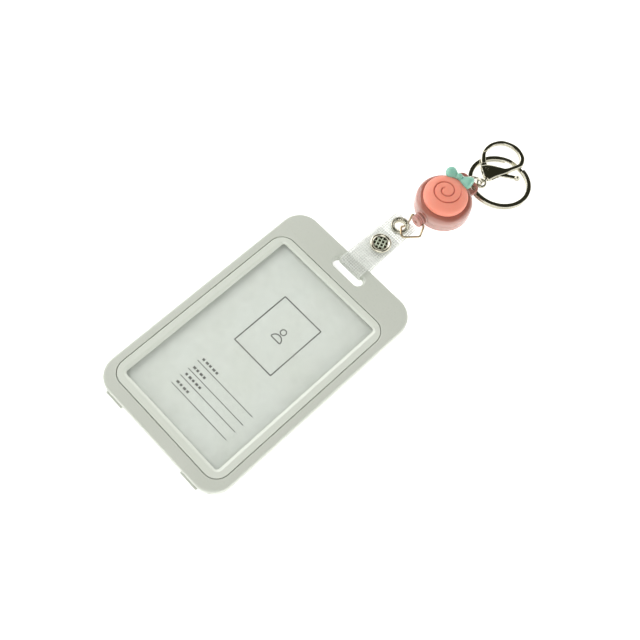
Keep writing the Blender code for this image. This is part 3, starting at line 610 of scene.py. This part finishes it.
def strap_paths():
    """Middle lines of the strap as (y, z): the band with its wrap round the bar, and the flap."""
    fold_y = SLOT_Y1 - 0.95
    band = [(STRAP_END_Y, EYELET_Z), (STRAP_END_Y - STRAP_END_R, EYELET_Z), (EYELET_Y, EYELET_Z),
            (131.1, EYELET_Z), (129.4, 2.5), (SNAP_Y + 4.4, BAND_Z), (SNAP_Y, BAND_Z), (SNAP_Y - 4.6, BAND_Z),
            (115.5, 1.35), (112.5, 0.6), (107.5, 0.5), (106.2, 0.6), (fold_y + 0.25, 1.2), (fold_y, 2.4),
            (fold_y, 4.1), (fold_y + 0.3, 4.95), (106.2, 5.36), (108.0, 5.42), (111.0, 5.42), (113.2, 5.2),
            (FLAP_Y - 0.03, 4.82)]
    flap = [(FLAP_Y, 4.82), (SNAP_Y - 4.6, SNAP_FLAP_Z), (SNAP_Y, SNAP_FLAP_Z), (128.5, SNAP_FLAP_Z)]
    return smooth_path(band, 6), smooth_path(flap, 6)


def ribbon(name, path, end_y=None):
    """A strip with rounded edges along a (y, z) path across X, its corners rounded at end_y."""
    half_t, ridge_h, ridge_w = STRAP_T / 2, 0.16, 0.22
    rows = []
    for i, p in enumerate(path):
        tangent = (path[min(i + 1, len(path) - 1)] - path[max(i - 1, 0)]).normalized()
        up = Vector((-tangent.y, tangent.x))
        half = STRAP_HALF
        if end_y is not None and p.x > end_y - STRAP_END_R:
            past = p.x - (end_y - STRAP_END_R)
            half += math.sqrt(max(STRAP_END_R ** 2 - past ** 2, 0.0)) - STRAP_END_R
        lift = 0.0
        if p.y > 4.9:
            lift = sum(ridge_h * math.exp(-((p.x - r) / ridge_w) ** 2) for r in RIDGES)
        row = []
        section = [(-half, -half_t), (0, -half_t), (half, -half_t), (half, half_t), (0, half_t),
                   (-half, half_t)]
        for across, out in soften(section, 0.25, 3, True):
            raised = lift if out > 0 and abs(tangent.x) > 0.8 else 0.0
            away = out + raised * (-1 if tangent.x < 0 else 1)
            y, z = p + up * away
            row.append(point(STRAP_X + across, y, z))
        rows.append(row)
    return skin(name, rows, caps=True)


def clear_of_holes(x, y):
    near_snap = math.hypot(x - SNAP_X, y - SNAP_Y) < 1.9
    return not near_snap and math.hypot(x - EYELET_X, y - EYELET_Y) > 3.1


def threads(name, path):
    """The woven net inside the strap: threads along it and across it."""
    made = []
    count = int(2 * STRAP_HALF / THREAD_PITCH)
    columns = [STRAP_X - STRAP_HALF + THREAD_PITCH * (i + 0.5) for i in range(count)]
    length, marks = 0.0, []
    for a, b in zip(path, path[1:]):
        while len(marks) * THREAD_PITCH < length + (b - a).length:
            marks.append(a + (b - a) * ((len(marks) * THREAD_PITCH - length) / (b - a).length))
        length += (b - a).length
    section = circle(THREAD_R, 6)

    def add(run, up):
        if len(run) > 1:
            made.append(sweep("thread", run, section, up=up))

    for n, x in enumerate(columns):
        run = []
        for i, p in enumerate(path):
            if clear_of_holes(x, p.x) and abs(p.x - STRAP_END_Y) > 0.6:
                run.append(point(x, p.x, p.y))
            else:
                add(run, UP)
                run = []
        add(run, Vector((1, 0, 0)))
    for p in marks:
        run = []
        inset = 0.4 if p.x < STRAP_END_Y - STRAP_END_R else 2.2
        for k in range(25):
            x = STRAP_X + (STRAP_HALF - inset) * (k / 12 - 1)
            if clear_of_holes(x, p.x) and p.x < STRAP_END_Y - 0.6:
                run.append(point(x, p.x, p.y))
            else:
                add(run, UP)
                run = []
        add(run, UP)
    return join(name, made)


def hole_cutter(x, y, z, radius):
    return rod("hole", radius, 3.0, point(x, y, z), UP, 40)


def make_strap(looks):
    """Clear vinyl with a woven net: the band wrapped round the holder's bar, and the flap."""
    band, flap = strap_paths()
    bends = (
        ("strap_vinyl", "strap_net", band, ("strap", "holder"), 115.5, 111.0, ["strap_band"]),
        ("flap_vinyl", "flap_net", flap, ("strap", "flap"), FLAP_Y, FLAP_Y + 1.3, ["strap_flap"]),
    )
    for vinyl_name, net_name, path, bodies, start, end, nodes in bends:
        vinyl = ribbon(vinyl_name, path, STRAP_END_Y if nodes == ["strap_band"] else None)
        if nodes == ["strap_band"]:
            vinyl = cut(vinyl, hole_cutter(SNAP_X, SNAP_Y, BAND_Z, 1.5),
                        hole_cutter(EYELET_X, EYELET_Y, EYELET_Z, 2.95))
        else:
            vinyl = cut(vinyl, hole_cutter(SNAP_X, SNAP_Y, SNAP_FLAP_Z, 1.5))
        net = threads(net_name, path)
        for obj, name, look in ((vinyl, vinyl_name, "vinyl"), (net, net_name, "thread")):
            obj.name = obj.data.name = name
            dress(obj, looks[look], 40, look == "vinyl")
            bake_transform(obj)
        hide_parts(*nodes)


# ---------------------------------------------------------------- snap, eyelet, wire and bead

def tapered(share):
    """Full in the middle of a ridge and thin at its ends."""
    return 0.35 + 0.65 * math.sin(math.pi * share) ** 0.4


def make_snap(looks):
    """Cap with a rolled rim round a hatched face; the hidden parts keep their CAD shapes."""
    z = SNAP_FLAP_Z + STRAP_T / 2 + 0.3
    at = point(SNAP_X, SNAP_Y, 0)
    rim = [(0, z + 0.5), (3.15, z + 0.48), (3.4, z + 0.8), (3.8, z + 1.0), (4.25, z + 0.85),
           (SNAP_R, z + 0.4), (SNAP_R - 0.1, z), (1.2, z), (1.2, 4.3), (0, 4.3)]
    cap = lathe("snap_face", soften(rim, 0.25, 3), at, steps=96)
    piece(cap, "snap_face", "flap", looks["nickel"], ["snap_cap"], 50)
    ridges = []
    face_r, pitch, lean = 2.8, 1.6, 0.35
    for heading in (lean, lean + math.pi / 2):
        along = Vector((math.cos(heading), math.sin(heading), 0))
        across = Vector((-along.y, along.x, 0))
        for k in (-1, 0, 1):
            reach = math.sqrt(face_r ** 2 - (k * pitch) ** 2)
            middle = point(SNAP_X, SNAP_Y, z + 0.5) + across * k * pitch * MM
            path = [middle + along * reach * t * MM for t in (-1, -0.92, -0.5, 0, 0.5, 0.92, 1)]
            ridges.append(sweep("ridge", path, circle(0.26, 8), size=tapered))
    piece(join("snap_hatch", ridges), "snap_hatch", "flap", looks["patina"])


def make_eyelet(looks):
    """Flange with a rolled edge, a dip, and small crimps round its lip."""
    top = EYELET_Z + STRAP_T / 2 + 0.3
    bottom = EYELET_Z - STRAP_T / 2 - 0.3
    bore_r, tube_r, flange_r = 2.25, 2.65, 4.0
    profile = [(bore_r, top + 0.05), (2.45, top + 0.5), (2.8, top + 0.45), (3.0, top + 0.12),
               (3.3, top + 0.14), (3.5, top + 0.55), (3.8, top + 0.5), (flange_r, top),
               (3.4, top - 0.02), (tube_r, top), (tube_r, bottom - 0.5), (bore_r, bottom - 0.5)]
    crimps, crimp_depth, lip_r, lip_width = 18, 0.22, 2.55, 0.45

    def crimp(angle, r, h):
        wave = 0.5 + 0.5 * math.cos(crimps * angle)
        near = max(0.0, 1 - abs(r - lip_r) / lip_width) if h > top else 0.0
        return r, h - crimp_depth * near * wave

    rim = lathe("eyelet_rim", soften(profile, 0.12, 3, True), point(EYELET_X, EYELET_Y, 0), steps=144,
                loop=True, shape=crimp)
    piece(rim, "eyelet_rim", "strap", looks["nickel"], ["eyelet_front"], 50)


def make_wire_loop(looks):
    """The bent wire, through the eyelet and into both sides of the bead."""
    in_bead = BEAD_BACK + BEAD_L - 1.3
    inside, outside = BEAD_R - 0.9, BEAD_R + 0.75
    route = [reel_point(x, -in_bead, CORD_Z) / MM for x in (inside, outside)]
    for place in ((8.2, 140.4, 3.6), (8.9, 138.9, 3.6), (9.3, 138.0, 3.7), (8.9, 136.9, 3.9),
                  (7.3, 134.4, 4.6), (5.7, 132.3, 5.0), (4.7, 131.7, 5.1), (3.5, 132.1, 5.1),
                  (2.0, 133.7, 5.0), (1.2, 134.9, 4.6), (0.9, 135.9, 3.4), (0.7, 136.3, 2.2),
                  (0.7, 137.2, 1.15), (0.7, 139.2, 1.1), (0.6, 141.2, 1.7)):
        route.append(point(*place) / MM)
    route += [reel_point(x, -in_bead, CORD_Z) / MM for x in (-outside, -inside)]
    path = [p * MM for p in smooth_path(route, 8)]
    wire = sweep("loop_wire", path, circle(0.45, 14))
    piece(wire, "loop_wire", "loop", looks["wire"], ["wire_loop"], 60)


def make_bead(looks):
    """Ribbed bead, its heights running outward along the cord."""
    back, front, hole_r = BEAD_BACK, BEAD_BACK + BEAD_L, 0.75
    rib_pitch, groove_r = 0.95, BEAD_R - 0.75
    profile = [(hole_r, front), (BEAD_R - 0.4, front), (BEAD_R, front - 0.3)]
    for i in range(3):
        foot = front - 0.5 - i * rib_pitch
        profile += [(BEAD_R, foot), (groove_r, foot - 0.1), (groove_r, foot - 0.4), (BEAD_R, foot - 0.5)]
    profile += [(BEAD_R + 0.1, back + 0.1), (BEAD_R, back), (hole_r, back)]
    bead = lathe("bead_ribbed", soften(profile, 0.12, 3, True), reel_point(0, 0, CORD_Z), CHAIN, 80,
                 loop=True)
    across = reel_point(1, 0, 0) - reel_point(0, 0, 0)
    for side in (-1, 1):
        where = reel_point(side * (BEAD_R + 0.1), -(back + BEAD_L - 1.3), CORD_Z)
        bead = cut(bead, rod("wire_hole", 0.8, 2.4, where, across, 24))
    piece(bead, "bead_ribbed", "cord_end", looks["bead"], ["cord_bead"], 40)


def make_cord(looks):
    """Twisted cord from inside the case to the bead."""
    inner, outer = 10.9, BEAD_BACK + BEAD_L - 0.6
    count = 60
    path = [reel_point(0, -inner - (outer - inner) * i / count, CORD_Z) for i in range(count + 1)]
    strands = []
    for a in (2 * math.pi * i / 18 for i in range(18)):
        r = CORD_R * (0.86 + 0.14 * math.cos(3 * a))
        strands.append((r * math.cos(a), r * math.sin(a)))
    cord = sweep("cord_twist", path, strands, twist=0.22)
    cord.name = cord.data.name = "cord_twist"
    dress(cord, looks["cord"], 60, False)
    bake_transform(cord)
    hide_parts("cord_tail")


# ---------------------------------------------------------------- reel

def collar(z0, z1):
    """The part of the cord's collar between two heights."""
    profile = soften([(0, COLLAR_REACH), (COLLAR_R, COLLAR_REACH), (COLLAR_R, COLLAR_REACH - 0.6),
                      (COLLAR_R - 0.5, COLLAR_REACH - 1.3), (COLLAR_R - 0.5, 11.5), (0, 11.5)], 0.3, 3)
    ring = lathe("collar", profile, reel_point(0, 0, CORD_Z), CHAIN, 72)
    keep = block("keep", REEL_X - 8, REEL_X + 8, REEL_Y - 16, REEL_Y - 8, z0, z1)
    return combine(ring, [keep], "INTERSECT")


def bore():
    return rod("bore", 0.65, 5, reel_point(0, -12.4, CORD_Z), CHAIN, 24)


def make_case(looks):
    """Two glossy shells with a hairline seam, the cord's collar and the lug."""
    at = reel_point(0, 0, 0)
    seam = 0.04
    low, high = CASE_SEAM - seam, CASE_SEAM + seam
    base_profile = [(0, 6.0), (1.4, 6.0), (1.6, 5.8), (1.6, 1.0), (CASE_INNER_R, 1.0), (CASE_INNER_R, low),
                    (CASE_R, low), (CASE_R, 0.0), (0, 0)]
    base = lathe("case_base", soften(base_profile, 0.7, 5), at, steps=120)
    base = cut(union(base, collar(0.35, low - 0.02)), bore())
    piece(base, "case_base", "reel", looks["pink"], ["case_back"], 32)

    top_profile = [(0, CASE_H), (10.42, CASE_H), (11.32, 7.2), (11.9, 6.5), (12.2, 5.4), (CASE_R, 4.3),
                   (CASE_R, high), (CASE_INNER_R, high), (CASE_INNER_R, 6.3), (0, 6.3)]
    top = lathe("case_top", soften(top_profile, 0.5, 5), at, steps=120)
    outer = rounded_rect(-5.8, 5.8, 9.0, 16.0, 3.0, 10)
    slot = rounded_rect(-4.4, 4.4, 12.6, 14.8, 0.8, 6)
    lug = slab("lug", [[(x, y + MID_Y) for x, y in o] for o in (outer, slot)], 5.4, 7.0, 0.4, 3)
    lug.matrix_world = Matrix.Translation(at) @ Matrix.Rotation(-REEL_LEAN, 4, "Z")
    lug = cut(evaluated(lug), rod("core", 11.4, 12, reel_point(0, 0, 6), UP, 96))
    top = cut(union(top, collar(high + 0.02, 7.0), lug), bore())
    piece(top, "case_top", "reel", looks["pink"], ["case_front"], 32)


def spiral_depth(x, y):
    """How deep the carved spiral is, from 0 to 1, at a place on the dome."""
    start, end, r0, r1, half_width = math.radians(156), math.radians(778), 1.4, 6.6, 0.30
    r, a = math.hypot(x, y), math.atan2(y, x)
    best = 0.0
    for turn in range(4):
        along = a + 2 * math.pi * turn
        share = (along - start) / (end - start)
        if -0.03 < share < 1.03:
            ideal = r0 + (r1 - r0) * min(max(share, 0), 1)
            fade = min(1.0, (share + 0.03) / 0.06, (1.03 - share) / 0.12)
            best = max(best, fade * math.exp(-((r - ideal) / half_width) ** 2))
    return best


def make_topper(looks):
    """Coral dome with a carved spiral."""
    rise, rings, steps = TOPPER_TOP - TOPPER_SIDE, 76, 240
    shift, groove_depth = Vector((-0.9, 0.55)), 0.5
    rows = []
    for i in range(rings + 1):
        r = TOPPER_R * math.sin(math.pi / 2 * i / rings)
        h = TOPPER_SIDE + rise * math.cos(math.pi / 2 * i / rings)
        row = []
        for k in range(steps):
            a = 2 * math.pi * k / steps
            x, y = r * math.cos(a), r * math.sin(a)
            row.append((x, y, h - groove_depth * spiral_depth(x - shift.x, y - shift.y)))
        rows.append(row)
    for r, h in soften([(TOPPER_R, TOPPER_SIDE), (TOPPER_R, TOPPER_Z0), (0, TOPPER_Z0)], 0.5, 4)[1:]:
        rows.append([(r * math.cos(2 * math.pi * k / steps), r * math.sin(2 * math.pi * k / steps), h)
                     for k in range(steps)])
    middle = reel_point(0, 0, 0)
    dome = skin("topper_dome", [[middle + Vector(p) * MM for p in row] for row in rows])
    # The groove attribute is the mask for the painted shade in the carved spiral.
    groove = dome.data.attributes.new("groove", "FLOAT", "POINT")
    for v in dome.data.vertices:
        x, y, z = (v.co - middle) / MM
        groove.data[v.index].value = spiral_depth(x - shift.x, y - shift.y) if z > TOPPER_SIDE else 0
    piece(dome, "topper_dome", "reel", looks["coral"], ["medallion"], 60, even=False)


def lobe(side, outline):
    """One lobe of the bow, from the knot outwards: outline gives (distance, half depth) in millimetres."""
    rows = []
    for reach, depth in smooth_path(outline, 6):
        tall = depth * 0.68
        row = []
        for k in range(28):
            a = 2 * math.pi * k / 28
            crease = 0.35 * math.exp(-((a - math.pi / 2) / 0.35) ** 2) * max(0.0, 1 - reach / 4.5)
            row.append(reel_point(side * reach, 10.3 + depth * math.cos(a) + 0.05 * reach,
                                  10.4 + (tall - crease) * math.sin(a), BOW_LEAN))
        rows.append(row)
    return skin("lobe", rows)


def make_bow(looks):
    """Mint bow: a round lobe, a wider lobe and a knot, resting on the rim beside the dome."""
    root = [(0.2, 0.0), (0.5, 1.1), (1.5, 1.5)]
    round_lobe = lobe(-1, root + [(2.9, 2.4), (4.2, 2.75), (5.5, 2.1), (6.2, 1.1), (6.4, 0.0)])
    wide_lobe = lobe(1, root + [(3.0, 2.4), (4.5, 3.0), (5.7, 2.9), (6.3, 1.7), (6.5, 0.0)])
    half_knot = [(0, 1.75), (0.8, 1.6), (1.35, 0.9)]
    outline = half_knot + [(1.45, 0.0)] + [(r, -h) for r, h in reversed(half_knot)]
    knot = lathe("knot", smooth_path(outline, 4), reel_point(0, 10.6, 10.35, BOW_LEAN), steps=32)
    foot = rod("foot", 1.2, 1.6, reel_point(0, 10.6, 8.6, BOW_LEAN), UP, 32)
    bow = union(knot, round_lobe, wide_lobe, foot)
    rise, gap = TOPPER_TOP - TOPPER_SIDE, 0.06
    dome = [((TOPPER_R + gap) * math.sin(a), TOPPER_SIDE + gap + rise * math.cos(a))
            for a in (math.pi / 2 * i / 16 for i in range(17))]
    hollow = lathe("hollow", dome + [(TOPPER_R + gap, 6.0), (0, 6.0)], reel_point(0, 0, 0), steps=96)
    piece(cut(bow, hollow), "bow_ribbon", "reel", looks["mint"], ["bow"], 60, even=False)


# ---------------------------------------------------------------- rings and clasp

def make_jump_ring(looks):
    """Round wire bent into a ring, with the small gap where its ends meet."""
    centre = point(*JUMP_CENTRE)
    count, gap = 90, math.radians(3)
    path = []
    for i in range(count + 1):
        a = -math.pi * 0.62 + gap + (2 * math.pi - 2 * gap) * i / count
        path.append(centre + (JUMP_HEADING * math.cos(a) + UP * math.sin(a)) * JUMP_R * MM)
    ring = sweep("jump_wire", path, circle(JUMP_WIRE_R, 16), up=JUMP_HEADING.cross(UP))
    piece(ring, "jump_wire", "link", looks["nickel"], ["jump_ring"], 60)


def make_split_ring(looks):
    """Two turns of flat wire, one on the other, crossing over in a short jog."""
    turn = UP.rotation_difference(KEY_NORMAL).to_matrix()
    centre = point(*KEY_CENTRE)
    half_step, jog, start = 0.5, math.radians(17), math.radians(20)
    middle = KEY_R - KEY_W / 2
    count, where = 300, math.radians(97)
    path = []
    for i in range(count + 1):
        a = start + (4 * math.pi - 2 * start) * i / count
        t = min(max((a - 2 * math.pi + jog) / (2 * jog), 0), 1)
        h = half_step * (2 * t * t * (3 - 2 * t) - 1)
        angle = a + where
        path.append(centre + turn @ Vector((middle * math.cos(angle), middle * math.sin(angle), h)) * MM)
    half_w, half_t = KEY_W / 2, 0.46
    section = [(-half_w, -half_t), (half_w, -half_t), (half_w, half_t), (-half_w, half_t)]
    ring = sweep("split_ring", path, soften(section, 0.22, 3, True), up=KEY_NORMAL, level=True)
    piece(ring, "split_ring", "ring", looks["nickel"], ["key_ring"], 40)


def make_swivel(looks):
    """Flat eye on the jump ring and the stem that turns in the clasp."""
    at = point(EYE_X, EYE_Y, CLASP_Z)
    eye = lathe("eye", soften([(1.25, 0.35), (1.45, 0.7), (2.1, 0.7), (2.3, 0.4), (2.3, -0.4), (2.1, -0.7),
                               (1.45, -0.7), (1.25, -0.35)], 0.2, 3, True), at, steps=64, loop=True)
    stem_profile = [(0, 4.8), (0.7, 4.8), (0.7, 3.0), (0.95, 2.8), (0.95, 2.4), (0.7, 1.6), (0, 1.6)]
    stem = lathe("stem", soften(stem_profile, 0.1, 2), at, (0, 1, 0), 40)
    piece(union(eye, stem), "swivel_body", "swivel", looks["nickel"], ["swivel_eye"], 40)


# the hook's outer line from the swivel round to its tip, and the inner line's places opposite
HOOK_OUTER = [(8.3, 179.5), (10.9, 179.6), (12.2, 183.6), (14.0, 188.2), (14.6, 190.9), (16.0, 195.0),
              (15.9, 197.0), (14.1, 199.9), (11.0, 201.5), (8.0, 202.0), (5.0, 201.3), (1.2, 199.1),
              (-0.9, 195.3), (-1.4, 192.0), (-0.85, 188.95)]
HOOK_INNER = [(3.7, 182.4), (4.9, 184.6), (7.0, 186.4), (9.6, 187.9), (12.0, 189.6), (13.95, 194.8),
              (13.9, 196.4), (12.6, 198.2), (10.2, 199.6), (7.9, 199.95), (5.4, 199.5), (2.7, 198.0),
              (0.85, 195.0), (0.45, 192.0), (0.4, 189.9)]
# the space that the gate needs inside the hook
GATE_WAY = [(2.0, 180.0), (6.0, 180.2), (9.2, 180.7), (12.4, 181.2), (17.0, 182.4), (17.0, 190.4),
            (12.6, 188.6), (9.6, 187.4), (6.0, 186.0), (2.0, 185.5)]


def make_hook(looks):
    """Cast hook: sections between its outer and inner lines, broad at the swivel and round at the loop."""
    outer, inner = smooth_path(HOOK_OUTER, 8), smooth_path(HOOK_INNER, 8)
    rows = []
    for i, (a, b) in enumerate(zip(outer, inner)):
        share = i / (len(outer) - 1)
        thick = 1.3 - 0.3 * min(1.0, share / 0.4)
        square = 0.36 + 0.12 * min(1.0, share / 0.5)
        middle, reach = (a + b) / 2, (b - a) / 2
        row = []
        for k in range(36):
            c, s = math.cos(2 * math.pi * k / 36), math.sin(2 * math.pi * k / 36)
            flat = middle + reach * math.copysign(abs(c) ** square, c)
            row.append(point(flat.x, flat.y, CLASP_Z + thick * math.copysign(abs(s) ** square, s)))
        rows.append(row)
    hook = skin("hook_cast", rows, caps=True)
    hook = cut(
        hook,
        slab("gate_way", [GATE_WAY], CLASP_Z - 0.75, CLASP_Z + 0.75),
        rod("stem_hole", 1.0, 3.6, point(EYE_X, 179.7, CLASP_Z), (0, 1, 0), 32),
        rod("pin_hole", 0.75, 6, point(*PIVOT, CLASP_Z), UP, 32),
    )
    piece(hook, "hook_cast", "clasp", looks["nickel"], ["clasp_hook"], 40)


def make_gate(looks):
    """Gate arm and thumb lever with its ball."""
    arm = [(0.5, 189.1), (-0.35, 188.4), (0.6, 186.3), (3.3, 182.9), (4.8, 181.6), (6.6, 181.4),
           (8.4, 182.2), (12.0, 184.4), (15.6, 187.1), (18.4, 189.2), (17.6, 190.3), (14.2, 188.0),
           (11.2, 186.0), (8.2, 184.5), (6.4, 184.5), (4.6, 185.3), (2.2, 187.2)]
    thick = [(0.7, 189.4), (-0.55, 188.35), (0.4, 186.4), (2.1, 184.2), (3.0, 183.6), (4.3, 185.3),
             (3.3, 186.0), (1.6, 187.9)]
    ball_r = 1.25
    half_round = [(ball_r * math.sin(a), -ball_r * math.cos(a))
                  for a in (math.pi * i / 16 for i in range(17))]
    ball = lathe("ball", half_round, point(18.4, 189.9, CLASP_Z), steps=32)
    gate = union(
        slab("gate_cast", [smooth_path(arm, 5, closed=True)], CLASP_Z - 0.45, CLASP_Z + 0.45, 0.15, 2),
        slab("bar", [soften(thick, 0.6, 4, True)], CLASP_Z - 1.0, CLASP_Z + 1.0, 0.3, 4),
        ball,
    )
    gate = cut(gate, rod("pivot_hole", 0.75, 4, point(*PIVOT, CLASP_Z), UP, 32))
    piece(gate, "gate_cast", "gate", looks["nickel"], ["clasp_gate"], 40)


# ---------------------------------------------------------------- CAD nodes that stay

KEPT = {
    "window_film": "film", "card_insert": "card", "slide_cover": "abs", "snap_socket": "nickel",
    "snap_stud": "nickel", "snap_post": "nickel", "eyelet_back": "nickel", "gate_pin": "nickel",
    "gate_spring": "steel", "power_spring": "steel", "spool": "acetal", "spool_cover": "acetal",
    "cord_winding": "cord",
}


def dress_kept_nodes(looks):
    for name, look in KEPT.items():
        node = NODES[name]
        node.data.materials.clear()
        node.data.materials.append(looks[look])


# ---------------------------------------------------------------- camera, floor and light

def make_camera():
    """The photograph's camera: high, over the near right corner, with a slight roll."""
    azimuth, elevation, roll = math.radians(36.55), math.radians(66.63), math.radians(10.22)
    target, distance = Vector((7.49, -19.08, 0)) * MM, 372.8 * MM
    back = Vector((math.sin(azimuth) * math.cos(elevation), -math.cos(azimuth) * math.cos(elevation),
                   math.sin(elevation)))
    level = UP.cross(back).normalized()
    right = level * math.cos(roll) + back.cross(level) * math.sin(roll)
    data = bpy.data.cameras.new("camera")
    data.lens, data.sensor_width = 51.84, 36.0
    camera = bpy.data.objects.new("camera", data)
    bpy.context.scene.collection.objects.link(camera)
    turn = Matrix((right, back.cross(right), back)).transposed().to_4x4()
    camera.matrix_world = Matrix.Translation(target + back * distance) @ turn
    bpy.context.scene.camera = camera


def make_stage():
    """A pale floor, a tent bright all round and dark overhead, and three soft lights."""
    half, below = 1.5, -2e-5
    floor = skin("floor", [[(x, y, below) for x in (-half, half)] for y in (-half, half)], around=False)
    pale = Surface("pale_floor", (0.93, 0.93, 0.925), (0.95, 0.95, 0.945), 60.0, (0.7, 0.8), 1.0, 0.0,
                   Emission_Color=(1.0, 1.0, 1.0, 1.0), Emission_Strength=0.6)
    dress(floor, pale.done(), even=False)

    world = bpy.data.worlds.new("tent")
    bpy.context.scene.world = world
    world.use_nodes = True
    tree = world.node_tree
    coords = tree.nodes.new("ShaderNodeTexCoord")
    split = tree.nodes.new("ShaderNodeSeparateXYZ")
    ramp = tree.nodes.new("ShaderNodeValToRGB")
    tree.links.new(coords.outputs["Generated"], split.inputs["Vector"])
    tree.links.new(split.outputs["Z"], ramp.inputs["Fac"])
    tree.links.new(ramp.outputs["Color"], tree.nodes["Background"].inputs["Color"])
    ramp.color_ramp.elements[0].position = 0.32
    ramp.color_ramp.elements[0].color = (1.0, 1.0, 0.98, 1)
    ramp.color_ramp.elements[1].position = 0.55
    ramp.color_ramp.elements[1].color = (0.018, 0.018, 0.012, 1)
    tree.nodes["Background"].inputs["Strength"].default_value = 2.0

    for name, place, size, power in (
            ("key", (-0.5, 0.05, 0.45), 0.45, 2.2),
            ("fill", (0.45, 0.35, 0.4), 0.5, 0.6),
            ("front", (0.2, -0.35, 0.6), 0.5, 1.6)):
        data = bpy.data.lights.new(name, "AREA")
        data.size, data.energy = size, power
        lamp = bpy.data.objects.new(name, data)
        lamp.location = place
        lamp.rotation_euler = (-Vector(place)).to_track_quat("-Z", "Y").to_euler()
        bpy.context.scene.collection.objects.link(lamp)
    bpy.context.scene.view_settings.view_transform = "Standard"


def main():
    make_camera()
    make_stage()
    looks = make_materials()
    dress_kept_nodes(looks)
    make_holder(looks)
    make_bezel(looks)
    make_card_print(looks)
    make_strap(looks)
    make_snap(looks)
    make_eyelet(looks)
    make_wire_loop(looks)
    make_bead(looks)
    make_cord(looks)
    make_case(looks)
    make_topper(looks)
    make_bow(looks)
    make_jump_ring(looks)
    make_split_ring(looks)
    make_swivel(looks)
    make_hook(looks)
    make_gate(looks)


main()
